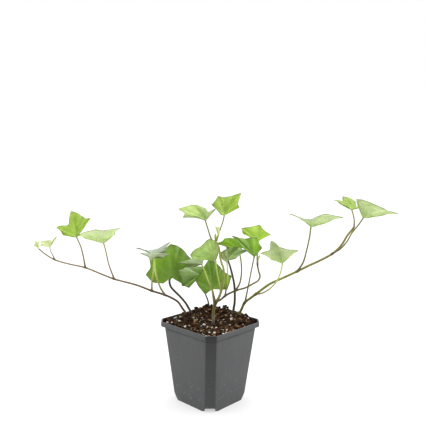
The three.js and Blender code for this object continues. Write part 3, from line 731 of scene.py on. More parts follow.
@dataclass
class Studio:
    """A plain pale floor, soft light and the camera, all in metres.

    The camera's place and angles give the photograph's view: its focal length is in pixels
    of a frame as wide as the photograph.
    """

    camera_place: Point = (0.00238, -0.640, 0.29531)
    pitch: float = math.radians(6.679)
    roll: float = math.radians(0.677)
    focal: float = 560.816
    frame_width: float = 427.0
    film: float = 36.0
    floor_half: float = 6.0
    floor_greys: tuple[Colour, Colour] = ((174, 174, 174), (178, 178, 178))
    floor_glow: float = 0.55
    front_glow: Colour = (64, 64, 64)  # of the floor before the pot, for the light that it gives
    front: Pair = (-0.2, -0.076)  # Y where that part of the floor ends
    aim: Point = (0.0, 0.0, 0.12)  # what the lights look at
    softboxes: tuple[Softbox, ...] = (
        Softbox("softbox_left", (-1.7, -0.35, 0.9), 1.6, 7.0),
        Softbox("softbox_right", (1.7, -0.30, 0.8), 1.6, 9.0),
        Softbox("softbox_top", (0.0, 0.35, 1.9), 1.8, 8.0),
    )

    def build(self) -> None:
        """Makes the floor, the lights and the camera."""
        self.build_floor()
        self.build_sky()
        for softbox in self.softboxes:
            self.build_softbox(softbox)
        self.build_camera()
        bpy.context.scene.view_settings.view_transform = "Standard"

    def build_floor(self) -> None:
        """A level sheet that looks white all over, and lights the pot less from its front part."""
        half = self.floor_half / MM
        corners = np.array([[-half, -half, 0], [half, -half, 0], [half, half, 0], [-half, half, 0]])
        floor = Surface(corners, [np.array([[0, 1, 2, 3]])], {}).mesh_object("floor")
        s = Shader.for_material("floor_sheet")
        here = s.place()
        dark, light = (paint(grey) for grey in self.floor_greys)
        colour = s.mix(s.noise(here, 6, 3).ramp(0.3, 0.7), dark, light)
        seen = s.node("ShaderNodeLightPath", {}, {}, "Is Camera Ray")
        share = s.axis(here, "Y").ramp(*self.front).most(seen)
        glow = s.mix(share, paint(self.front_glow), paint((255, 255, 255)))
        floor.data.materials.append(s.finished({
            "Base Color": colour, "Roughness": 0.9, "Specular IOR Level": 0.0,
            "Emission Color": glow, "Emission Strength": self.floor_glow,
        }))

    def build_sky(self) -> None:
        """White where the camera sees it, and a weaker fill for the light that it gives."""
        world = bpy.data.worlds.new("studio_sky")
        world.use_nodes = True
        bpy.context.scene.world = world
        s = Shader(world.node_tree)
        seen = s.node("ShaderNodeLightPath", {}, {}, "Is Camera Ray")
        toward = s.node("ShaderNodeTexCoord", {}, {}, "Generated")
        behind = s.axis(toward, "Y").ramp(-0.8, 0.3, 0.07, 1.25)
        beside = abs(s.axis(toward, "X")).ramp(0.55, 0.95)
        above = s.axis(toward, "Z").ramp(0.2, 0.9) * 0.5
        strength = (behind + beside + above) * (1 - seen) + seen
        light = s.node("ShaderNodeBackground", {}, {"Color": (1, 1, 1, 1), "Strength": strength})
        end = s.tree.nodes.new("ShaderNodeOutputWorld")
        s.tree.links.new(light.socket, end.inputs["Surface"])

    def build_softbox(self, softbox: Softbox) -> None:
        """A square area light that looks at the plant and that the camera doesn't see.

        Args:
            softbox: its place, width and power.
        """
        lamp = bpy.data.lights.new(softbox.name, "AREA")
        lamp.size = softbox.width
        lamp.energy = softbox.power
        stand = bpy.data.objects.new(softbox.name, lamp)
        bpy.context.scene.collection.objects.link(stand)
        away = unit(np.array(softbox.place) - np.array(self.aim))
        across = unit(np.cross([0.02, 1.0, 0.01], away))
        self.stand_at(stand, softbox.place, across, np.cross(away, across), away)
        stand.visible_camera = False

    def build_camera(self) -> None:
        """The camera, looking along +Y, pitched down and rolled a little."""
        ahead = np.array([0, math.cos(self.pitch), -math.sin(self.pitch)])
        level, above = np.array([1.0, 0, 0]), np.array([0, math.sin(self.pitch), math.cos(self.pitch)])
        c, s = math.cos(self.roll), math.sin(self.roll)
        camera = bpy.data.cameras.new("camera")
        camera.sensor_fit = "HORIZONTAL"
        camera.sensor_width = self.film
        camera.lens = self.film * self.focal / self.frame_width
        camera.clip_start, camera.clip_end = 0.01, 50
        stand = bpy.data.objects.new("camera", camera)
        bpy.context.scene.collection.objects.link(stand)
        self.stand_at(stand, self.camera_place, level * c + above * s, above * c - level * s, -ahead)
        bpy.context.scene.camera = stand

    @staticmethod
    def stand_at(thing: Object, place: Point, right: Array, up: Array, back: Array) -> None:
        """Puts a camera or light at a place, with its own three directions."""
        columns = np.column_stack([right, up, back])
        thing.matrix_world = Matrix.Translation(place) @ Matrix(columns.tolist()).to_4x4()


# ------------ the pot
class Carving(Enum):
    """What a tool does to the pot, each with the name of the mesh operation."""

    JOIN = "UNION"
    CUT = "DIFFERENCE"


@dataclass
class Pot:
    """A thin square pot with cut corners, a rim band, a floor on ribs, notches and drain holes."""

    height: float = 94.0
    core_side: float = 8.0  # where the floor's rings begin
    rim_side: float = 90.0
    rim_band: float = 5.5
    rim_cut: float = 8.9
    shoulder: float = 1.6
    top_side: float = 83.0
    foot_side: float = 65.5
    wall_cut: float = 8.4
    foot_cut: float = 12.6
    foot_bevel: float = 7.5
    under_cut: float = 10.6
    wall: float = 1.3
    floor_under: float = 4.6
    floor_thick: float = 1.5
    notch_wide: float = 12.0
    notch_high: float = 4.0
    notch_deep: float = 9.0
    notch_round: float = 1.4
    rib_thick: float = 1.8
    rib_sunk: float = 0.3  # how far the ribs run into the floor
    pad_radius: float = 8.0
    drain_radius: float = 4.0
    drain_offset: float = 17.0
    drain_span: Pair = (-3.0, 4.0)  # from the floor's underside, right through it
    crease: float = math.radians(38)  # edges sharper than this stay sharp

    def wall_side(self, height: float) -> float:
        """Outside width of the sloping wall at a height."""
        share = height / (self.height - self.rim_band - self.shoulder)
        return self.foot_side + (self.top_side - self.foot_side) * share

    def profile(self) -> tuple[Array, Array]:
        """The wall's section, from the middle of the underside out, up, over the lip and down inside.

        Formula: each station is a side, a corner cut, a corner radius, a height and how far its
        rounding reaches. At each the section is rounded by the curve
        a (1 - t)² + 2 b t (1 - t) + c t² between a point just before it and one just after it.

        Returns:
            The rounded stations, and how many of them lie before the top of the lip.
        """
        off = 2 * self.wall
        band, ledge = self.height - self.rim_band, self.height - self.rim_band - self.shoulder
        floor_top = self.floor_under + self.floor_thick
        stations = np.array([
            [self.core_side, 1.5, 0.5, self.floor_under, 0],
            [self.wall_side(self.floor_under) - off, self.under_cut, 1.5, self.floor_under, 0.8],
            [self.foot_side - off, self.foot_cut, 1.5, 0, 0.3],
            [self.foot_side, self.foot_cut, 2.2, 0, 0.4],
            [self.wall_side(self.foot_bevel), self.wall_cut, 2.6, self.foot_bevel, 2.4],
            [self.top_side, self.wall_cut, 2.6, ledge, 0.7],
            [self.rim_side, self.rim_cut, 3.0, band, 0.7],
            [self.rim_side, self.rim_cut, 3.0, self.height, 0.55],
            [self.rim_side - off, self.rim_cut, 2.0, self.height, 0.45],
            [self.rim_side - off, self.rim_cut, 2.0, band, 0.6],
            [self.top_side - off, self.wall_cut, 1.6, ledge, 0.6],
            [self.wall_side(floor_top) - off, self.wall_cut, 1.6, floor_top, 1.6],
            [self.core_side, 1.5, 0.5, floor_top, 0],
        ])
        here = stations[1:-1]
        ends = []
        for other in (stations[:-2], stations[2:]):
            step = (other - here)[:, [0, 3]] * [0.5, 1]
            share = np.minimum(here[:, 4] / np.linalg.norm(step, axis=1), 0.45)
            ends.append((here + (other - here) * share[:, None])[:, None])
        t = np.linspace(0, 1, 5)[None, :, None]
        curve = ends[0] * (1 - t) ** 2 + 2 * here[:, None] * t * (1 - t) + ends[1] * t * t
        before_lip = int(np.argmax(here[:, 3])) * t.size + t.size // 2
        return np.vstack([stations[:1], *curve, stations[-1:]]), 1 + before_lip

    def rings(self, stations: Array, arc: int = 6, flat: int = 3) -> Array:
        """Level rings round a square with cut, rounded corners, turned with the pot.

        Formula: the eight flats look outwards every 45 degrees. At each of the eight corners an
        arc touches both flats: its middle lies inwards along the corner's bisector by the
        radius over the cosine of 22.5 degrees.

        Args:
            stations: rows that begin with side, corner cut, corner radius and height.
            arc: steps on an arc.
            flat: points inside each flat.

        Returns:
            One ring of points for each station.
        """
        half, radius = stations[:, 0] / 2, stations[:, 2, None]
        short = half - stations[:, 1]
        x = np.stack([half, short, -short, -half, -half, -short, short, half], 1)
        y = np.stack([short, half, half, short, -short, -half, -half, -short], 1)
        bisector = np.radians(22.5 + 45 * np.arange(8))
        reach = radius / math.cos(math.radians(22.5))
        middle = np.stack([x, y], -1) - reach[..., None] * toward(bisector)
        sweep = np.radians(45 * np.arange(8)[:, None] + np.linspace(0, 45, arc + 1)[None])
        arcs = middle[:, :, None] + radius[..., None, None] * toward(sweep)
        t = (np.arange(1, flat + 1) / (flat + 1))[None, None, :, None]
        start, end = arcs[:, :, -1:], np.roll(arcs, -1, axis=1)[:, :, :1]
        level = np.concatenate([arcs, start + (end - start) * t], 2).reshape(len(stations), -1, 2)
        high = np.broadcast_to(stations[:, 3, None, None], (*level.shape[:2], 1))
        return turned(np.concatenate([level, high], -1), TURN)

    def ribs(self) -> list[Surface]:
        """Two crossing ribs and a round pad under the floor.

        Returns:
            The three, from the level that the pot stands on up into the floor.
        """
        long, thick = self.foot_side - self.wall, self.rib_thick
        outlines = [rounded_box(*sides, 0.4) for sides in ((long, thick), (thick, long))]
        outlines.append(circle(self.pad_radius, 48))
        return [prism(outline, 0.0, self.floor_under + self.rib_sunk) for outline in outlines]

    def notch(self, sx: int, sy: int) -> Surface:
        """What is cut from a corner of the foot: a low arch with round upper corners.

        Args:
            sx: 1 or -1, the corner's side along the first axis.
            sy: 1 or -1, its side along the second axis.

        Returns:
            The arch, lying through the corner's flat.
        """
        outline = rounded_box(self.notch_wide, 2 * self.notch_high, self.notch_round)
        arch = prism(outline, -self.notch_deep / 2, self.notch_deep / 2)
        corner = (self.foot_side - self.foot_cut) / 2
        along, outward = np.array([[-sy, sx, 0], [sx, sy, 0]]) * math.sqrt(0.5)
        arch.points = arch.points @ np.array([along, [0, 0, 1], outward]) + np.array([sx, sy, 0]) * corner
        return arch

    def drain(self, sx: int, sy: int) -> Surface:
        """What is cut from the floor for a round drain hole.

        Args:
            sx: 1 or -1, its side along the first axis.
            sy: 1 or -1, its side along the second axis.

        Returns:
            A cylinder through the floor.
        """
        low, high = (self.floor_under + end for end in self.drain_span)
        hole = prism(circle(self.drain_radius, 40), low, high)
        hole.points = hole.points + np.array([sx, sy, 0]) * self.drain_offset
        return hole

    def build(self) -> None:
        """Makes the pot, joins its ribs, cuts its notches and holes, and dresses it."""
        stations, lip = self.profile()
        rings = self.rings(stations)
        ends = [np.array([0, 0, stations[end, 3]]) for end in (0, -1)]
        pot = closed_rings(rings, *ends).mesh_object("pot_body")
        levels, count = rings.shape[:2]
        # faces from the lip's top inwards take the inside plastic, which is painted shade
        inner = np.zeros(len(pot.data.polygons), np.int32)
        inner[lip * count:(levels - 1) * count] = 1
        inner[levels * count:] = 1
        pot.data.polygons.foreach_set("material_index", inner)
        for skin in (POT_OUTSIDE.material(), POT_INSIDE_PAINTED_SHADE.material()):
            pot.data.materials.append(skin)
        corners = [(1, 1), (1, -1), (-1, 1), (-1, -1)]
        work = [(Carving.JOIN, rib) for rib in self.ribs()]
        work += [(Carving.CUT, self.notch(*corner)) for corner in corners]
        work += [(Carving.CUT, self.drain(*corner)) for corner in corners]
        for number, (carving, tool) in enumerate(work):
            tool.points = turned(tool.points, TURN)
            self.carve(pot, carving, tool.mesh_object(f"tool_{number}"))
        pot.data.shade_smooth()
        pot.data.set_sharp_from_angle(angle=self.crease)
        dress(pot, list(pot.data.materials), ["pot"])

    @staticmethod
    def carve(pot: Object, carving: Carving, tool: Object) -> None:
        """Joins a tool to the pot's mesh or cuts it away, and removes the tool.

        Args:
            pot: the piece that is worked on.
            carving: whether the tool is joined or cut away.
            tool: a closed body.
        """
        step = pot.modifiers.new("carve", "BOOLEAN")
        step.operation, step.object, step.solver = carving.value, tool, "EXACT"
        graph = bpy.context.evaluated_depsgraph_get()
        made = bpy.data.meshes.new_from_object(pot.evaluated_get(graph))
        pot.modifiers.clear()
        old, pot.data = pot.data, made
        made.name = "pot_body"
        bpy.data.meshes.remove(old)
        bpy.data.objects.remove(tool)


# ------------ the compost
def block() -> tuple[Array, Array]:
    """A cube of 26 points and 24 faces, each side split in four.

    Returns:
        Its points, from -1 to 1, and its faces.
    """
    points = np.stack(np.meshgrid(*[[-1.0, 0.0, 1.0]] * 3, indexing="ij"), -1).reshape(-1, 3)
    number = np.arange(27).reshape(3, 3, 3)
    faces = []
    for axis in range(3):
        for side in (0, 2):
            sheet = np.moveaxis(number, [axis, (axis + 1) % 3, (axis + 2) % 3], [0, 1, 2])[side]
            faces.append(sheet_faces(sheet) if side else sheet_faces(sheet)[:, ::-1])
    faces = np.concatenate(faces)
    keep = np.arange(27) != 13
    return points[keep], faces - (faces > 13)


@dataclass(frozen=True)
class Strewing:
    """One kind of loose bit that is strewn over the compost."""

    name: str
    count: int
    long: Pair  # least and greatest half length
    slim: Pair  # half width and half thickness, of the half length
    round_off: float  # 0 for a splinter, 1 for a rounded grain
    sink: float  # how far its middle lies below the surface, of its half thickness
    skin: Litter
    spots: tuple[Pair, ...] = ()  # places that the first of them take, in place of strewn ones
    spot_size: float = 1.0  # how much larger those are


@dataclass
class Compost:
    """Bark compost with perlite, lying against the pot's wall and heaped at the back."""

    pot: Pot
    level: float = 89.5
    clear: float = 0.2  # from the wall, for the fill never to cut through it
    cells: int = 190
    seed: int = 20
    heaps: tuple[tuple[float, float, float, float], ...] = (  # x, y, height and radius
        (-3, 37, 11, 10), (-27, 18, 6.5, 8), (17, 31, 6.5, 7), (28, 18, 4.5, 8), (42, 12, 5, 8),
        (3, 2, 3.5, 14), (-45, 4, 1.5, 10), (-18, 34, 5, 3), (18, 35, 4, 2.2), (26, 32, 3, 6),
        (37, 21, 2, 6),
    )
    crumbs: tuple[Pair, ...] = (  # width and height
        (5.0, 1.0), (2.4, 0.7), (1.1, 0.35),
    )
    strewn_clear: float = 2.2  # from the wall to where bits are strewn
    uneven: float = 0.16  # how far a bit's points are moved, of its sizes
    tilt: float = 0.35  # how far bits lie off level, in radians
    crease: float = math.radians(45)  # edges sharper than this stay sharp
    threads: int = 70
    thread_area: float = 36.0
    thread_long: Pair = (4.0, 10.0)
    thread_bend: float = 0.12  # in radians a millimetre
    thread_radius: float = 0.16
    thread_lift: float = 0.25
    thread_steps: int = 9
    strewings: tuple[Strewing, ...] = (
        Strewing("compost_bark", 520, (0.8, 3.6), (0.55, 0.3), 0.2, 0.1, BARK),
        Strewing("compost_crumbs", 900, (0.4, 1.2), (0.8, 0.7), 0.7, 0.2, PEAT),
        Strewing("compost_clumps", 16, (1.5, 2.1), (0.85, 0.75), 0.6, -0.6, PEAT, spots=(
            (-19, 34), (-17, 35), (-21, 32), (-8, 38), (-5, 40), (-3, 38), (-6, 36), (1, 37),
            (17, 36), (19, 35), (21, 33), (45, 12), (43, 14), (30, 28), (8, 36), (11, 34),
        )),
        Strewing("compost_perlite", 150, (0.35, 0.8), (0.8, 0.65), 0.6, -0.2, PERLITE, spots=(
            (-50, 0), (-45, -3), (-43, 16), (-41, 17), (-36, 15), (-37, 5), (-30, -12), (-28.5, -13),
            (-24, -11), (-20, 11), (-10, -15), (-8, -10), (-7, -11), (-10, -28), (-7, -39), (-4, -43),
            (-2.5, -16), (-1, -31), (2, -19), (7, -19), (5, -34), (16, 9), (25, 8), (25, 14), (23, -9),
            (19, -23), (18, -32), (15, -35), (36, 14), (45, 10),
        ), spot_size=2.9),
    )

    def surface(self, x: Array, y: Array) -> Array:
        """Height of the compost.

        Formula: its level, a bell of rise·e^(-d²/2r²) for each heap at distance d from it, and
        smooth random values for each size of crumb.

        Args:
            x: places along the first axis.
            y: places along the second axis.

        Returns:
            One height for each place.
        """
        height = np.full(np.shape(x), self.level)
        for hx, hy, rise, radius in self.heaps:
            height = height + rise * np.exp(-((x - hx) ** 2 + (y - hy) ** 2) / (2 * radius**2))
        for number, (width, rise) in enumerate(self.crumbs):
            height = height + rise * value_noise(x, y, width, self.seed + number)
        return height

    def fill(self) -> Surface:
        """The body of the compost, from its lumpy top down the pot's inside to the floor.

        Formula: a square grid is drawn in towards the pot's cut corners, by the factor
        (2 - cut)·m/(|s| + |t|) where that is under 1, with m the larger of |s| and |t|; the rim
        of the grid then goes down in rings that shrink with the pot.

        Returns:
            The closed surface with the mark "tone".
        """
        pot, n = self.pot, self.cells
        off = 2 * (pot.wall + self.clear)
        band, ledge = pot.height - pot.rim_band, pot.height - pot.rim_band - pot.shoulder
        half = (pot.rim_side - off) / 2
        s, t = np.meshgrid(np.linspace(-1, 1, n + 1), np.linspace(-1, 1, n + 1), indexing="ij")
        widest = np.maximum(abs(s), abs(t))
        squeeze = np.minimum(1, (2 - pot.rim_cut / half) * widest / np.maximum(abs(s) + abs(t), 1e-9))
        flat = turned(np.stack([s * squeeze * half, t * squeeze * half, 0 * s], -1), TURN)
        height = self.surface(flat[..., 0], flat[..., 1])
        flat[..., 2] = np.where(widest > 0.999, np.maximum(height, band + 0.2), height)
        grid = np.arange((n + 1) ** 2).reshape(n + 1, n + 1)
        border = np.concatenate([grid[:-1, 0], grid[-1, :-1], grid[:0:-1, -1], grid[0, :0:-1]])
        points = flat.reshape(-1, 3)
        floor_top = pot.floor_under + pot.floor_thick + self.clear
        foot_half = (pot.wall_side(floor_top) - off) / 2
        downward = [(half, band), ((pot.top_side - off) / 2, ledge), (foot_half, floor_top)]
        rings = [points[border] * [h / half, h / half, 0] + [0, 0, z] for h, z in downward]
        count, start = len(border), len(points)
        below = start + np.arange(3 * count).reshape(3, count)
        sides = band_faces(np.vstack([border, below]))[:, ::-1]
        base = fan_faces(start + 3 * count, below[-1])
        everything = np.vstack([points, *rings, [[0, 0, floor_top]]])
        tone = 0.5 + 0.5 * value_noise(everything[:, 0], everything[:, 1], 3.0, self.seed + 9)
        return Surface(everything, [sheet_faces(grid), sides, base], {"tone": tone})

    def kept_in(self, flat: Array, reach: Array) -> Array:
        """Places drawn in towards the middle until what lies there clears the pot's wall.

        Formula: with u and v the distances along the pot's sides, and the room half the inner
        side less the reach, a place is scaled by the least of 1, room/max(|u|, |v|) and
        (2 room - cut)/(|u| + |v|).

        Args:
            flat: the places.
            reach: how far each thing reaches from its place.

        Returns:
            The places, moved where they have to.
        """
        aside = abs(turned(np.column_stack([flat, 0 * reach]), -TURN)[:, :2])
        room = self.pot.rim_side / 2 - self.pot.wall - reach
        share = np.minimum(room / aside.max(1), (2 * room - self.pot.rim_cut) / aside.sum(1))
        return flat * np.minimum(share, 1)[:, None]

    def strewn(self, kind: Strewing, seed: int) -> Surface:
        """Many bits of one kind, each stretched, made uneven, turned and laid on the surface.

        Formula: a cube's points p go towards p/|p| by the round-off, are scaled by the bit's
        three half sizes, moved at random by the unevenness times them, turned about X, Y and
        Z, and placed at the surface less the sink.

        Args:
            kind: what is strewn.
            seed: names the run of random numbers.

        Returns:
            All the bits as one surface with the mark "tone".
        """
        random = np.random.default_rng(seed)
        points, faces = block()
        rounded = blend(points, unit(points), np.full(len(points), kind.round_off))
        reach = self.pot.rim_side / 2 - self.pot.wall - self.strewn_clear
        tries = random.uniform(-reach, reach, (3 * kind.count, 2))
        inside = abs(tries).sum(1) < 2 * reach - self.pot.rim_cut
        flat = turned(np.column_stack([tries[inside], np.zeros(inside.sum())]), TURN)[: kind.count, :2]
        if kind.spots:
            flat[: len(kind.spots)] = kind.spots
        count = len(flat)
        long = random.uniform(0, 1, count) ** 2.2 * (kind.long[1] - kind.long[0]) + kind.long[0]
        sizes = long[:, None] * [1, *kind.slim] * random.uniform(0.75, 1.2, (count, 3))
        sizes[: len(kind.spots)] *= kind.spot_size
        flat = self.kept_in(flat, 1.2 * sizes[:, 0])
        moved = random.uniform(-self.uneven, self.uneven, (count, len(points), 3))
        bits = (rounded + moved) * sizes[:, None]
        tilt, lean = random.normal(0, self.tilt, (2, count))
        spin = random.uniform(0, 2 * math.pi, count)
        for angle, (a, b) in ((tilt, (1, 2)), (lean, (2, 0)), (spin, (0, 1))):
            c, s = np.cos(angle)[:, None], np.sin(angle)[:, None]
            first, second = bits[..., a] * c - bits[..., b] * s, bits[..., a] * s + bits[..., b] * c
            bits[..., a], bits[..., b] = first, second
        height = self.surface(flat[:, 0], flat[:, 1]) - kind.sink * sizes[:, 2]
        bits += np.column_stack([flat, height])[:, None]
        table = (faces[None] + len(points) * np.arange(count)[:, None, None]).reshape(-1, 4)
        tone = np.repeat(random.uniform(0, 1, count) ** 1.5, len(points))
        return Surface(bits.reshape(-1, 3), [table], {"tone": tone})

    def fibres(self) -> Surface:
        """Thin dry root threads, each a bent tube lying on the compost.

        Formula: a thread's middle line is an arc of a circle, lifted to the surface; its
        sections are triangles, whose size follows the root of the sine along it.

        Returns:
            All the threads as one surface with the mark "tone".
        """
        random = np.random.default_rng(self.seed + 40)
        count, steps = self.threads, self.thread_steps
        start = random.uniform(-self.thread_area, self.thread_area, (count, 2))
        heading = random.uniform(0, 2 * math.pi, count)
        bend = random.normal(0, self.thread_bend, count)
        long = random.uniform(*self.thread_long, count)
        start = self.kept_in(start, long + 1)
        far = np.linspace(0, 1, steps)[None] * long[:, None]
        angle = heading[:, None] + bend[:, None] * far
        flat = start[:, None] + toward(angle) * far[..., None]
        high = self.surface(flat[..., 0], flat[..., 1]) + self.thread_lift
        middle = np.concatenate([flat, high[..., None]], -1)
        side = np.stack([-np.sin(angle), np.cos(angle), 0 * angle], -1)
        turn = np.radians([90, 210, 330])[:, None]
        section = side[:, :, None] * np.cos(turn) + np.array([0, 0, 1.0]) * np.sin(turn)
        radius = self.thread_radius * np.sqrt(np.sin(np.linspace(0.15, math.pi - 0.15, steps)))
        rings = middle[:, :, None] + section * radius[:, None, None]
        quads = band_faces(np.arange(3 * steps).reshape(steps, 3))[:, ::-1]
        caps = np.array([[0, 1, 2], [3 * steps - 1, 3 * steps - 2, 3 * steps - 3]])
        shift = 3 * steps * np.arange(count)[:, None, None]
        tables = [(table[None] + shift).reshape(-1, table.shape[1]) for table in (quads, caps)]
        tone = np.repeat(random.uniform(0.5, 1, count), 3 * steps)
        return Surface(rings.reshape(-1, 3), tables, {"tone": tone})

    def build(self) -> None:
        """Makes and dresses the fill and everything strewn over it."""
        peat, bark = PEAT.material(), BARK.material()
        dress(self.fill().mesh_object("compost_fill"), [peat], ["soil"])
        ready = {PEAT.name: peat, BARK.name: bark, PERLITE.name: PERLITE.material()}
        for number, kind in enumerate(self.strewings):
            bits = self.strewn(kind, self.seed + 20 + number).mesh_object(kind.name)
            bits.data.set_sharp_from_angle(angle=self.crease)
            dress(bits, [ready[kind.skin.name]])
        dress(self.fibres().mesh_object("compost_threads"), [bark])


# ------------ canes and stalks
OLIVE = ((106, 92, 40), (126, 124, 48), (132, 140, 54))
BEIGE = ((124, 106, 66), (144, 134, 80), (158, 156, 86))
LIME = ((128, 108, 64), (166, 166, 84), (204, 222, 108), (196, 214, 112))


@dataclass(frozen=True)
class Stalk:
    """A leaf stalk or a bud, from the cane outwards, with its colours at even distances."""

    bears: str  # the leaf at its end, or its own name where it is a bud
    path: tuple[Point, ...]
    tones: tuple[Colour, ...] = OLIVE
    stout: float = 1.0  # its radius, of a usual stalk's


@dataclass(frozen=True)
class CaneShape:
    """One cane: its thickness, its run, its colours and its stalks."""

    name: str
    girth: Pair  # radius at the root and at the tip
    path: tuple[Point, ...]  # from the compost to the last leaf
    tones: tuple[Colour, ...]  # at even distances, root first
    stalks: tuple[Stalk, ...] = ()
    grown_from: str = ""  # the cane that it branches from, none for one that is rooted


LEFT_STALKS = (
    Stalk("leaf_left_2", (
        (-178, -12, 167), (-180, -12, 172), (-182.5, -12, 177), (-183, -12, 181.5),
    ), BEIGE, 0.65),
    Stalk("leaf_left_3", (
        (-144.5, -6, 157), (-146.5, -7, 170.5), (-149, -7, 181), (-154, -6, 192),
    ), BEIGE),
    Stalk("leaf_left_4", (
        (-112.5, 0, 142.5), (-118, -1, 158.5), (-121.5, -3, 176.5), (-123.5, -4, 185),
    ), BEIGE, 0.92),
    Stalk("leaf_left_5", (
        (-69.5, 8, 127), (-68.5, 1, 138.5), (-66.5, -2, 151.5), (-65.5, -4, 162.5), (-65.5, -5, 171),
    ), LIME, 1.12),
    Stalk("leaf_left_6", (
        (-54, 10, 121), (-59, 2, 132.5), (-62.5, -8, 148), (-63, -18, 161), (-63, -25, 173),
    ), LIME, 1.2),
)
CENTRE_STALKS = (
    Stalk("leaf_mid_left_high", (
        (4.5, -3, 112.5), (3, -6, 123.5), (1, -9, 135), (-3, -10, 144.5), (-8, -9, 157.5),
        (-10.5, -8, 162.5),
    ), LIME),
    Stalk("leaf_front", ((6, -2, 116), (4, -1, 124.5), (2.5, 0, 130), (2, 1, 132))),
    Stalk("leaf_centre_pale", (
        (7, -4, 117), (11, -8, 127), (10.5, -10, 138), (8, -10, 149.5), (6.5, -9, 158.5),
        (5.5, -8, 167.5),
    ), LIME),
    Stalk("leaf_top_left", ((6, 0, 187), (1, 1, 189.5), (-4, 2, 202.5), (-7, 3, 212))),
    Stalk("leaf_top_right", ((6, 0, 188), (10, 2, 200.5), (14, 4, 213), (15, 5, 218.5)), OLIVE, 0.9),
    Stalk("leaf_top_bud", ((6, 0, 188.5), (6.5, -2, 193), (8, -3, 196.5)), LIME),
    Stalk("bud_1", ((6, 0, 188.5), (4.5, -1, 192.5), (5, -2, 197.5)), LIME),
)
BRANCH_STALKS = (
    Stalk("leaf_small_mid", ((17, 0, 123.5), (18.5, -5, 136.5), (19.5, -7, 150), (18.5, -8, 165)), LIME),
    Stalk("leaf_behind", (
        (29.5, 3, 129.5), (34.5, 8, 137.5), (36.5, 14, 149), (36, 18, 160.5), (34.5, 22, 169.5),
        (34, 24, 174),
    ), OLIVE, 1.1),
    Stalk("bud_2", ((55.5, 16, 158.5), (56, 14, 165), (57.5, 12, 170)), LIME),
)
RIGHT_STALKS = (
    Stalk("leaf_right_1", (
        (41, 13, 111.5), (42.5, 13, 119.5), (44.5, 12, 131), (47, 8, 148), (49, 5, 161), (50.5, 3, 170),
    )),
    Stalk("leaf_right_2", (
        (54, 13, 122.5), (61, 9, 125), (69, 8, 130), (76, 7, 137.5), (80.5, 6, 146.5), (83, 5, 156.5),
        (83.5, 4, 162.5),
    ), LIME),
    Stalk("leaf_right_3", (
        (103.5, 17, 150.5), (109.5, 15, 161.5), (113, 13, 177), (115.5, 11, 192.5), (116.5, 10, 204.5),
    ), OLIVE, 1.15),
    Stalk("leaf_right_4", (
        (171.5, 28, 201.5), (171.5, 28, 210), (170, 28, 217.5), (167.5, 27, 224),
    ), BEIGE),
    Stalk("leaf_right_5", (
        (145, 22, 171), (153.5, 18, 177.5), (161.5, 19, 186.5), (167.5, 20, 197), (175, 21, 206.5),
        (180.5, 22, 214.5),
    ), OLIVE, 1.1),
)
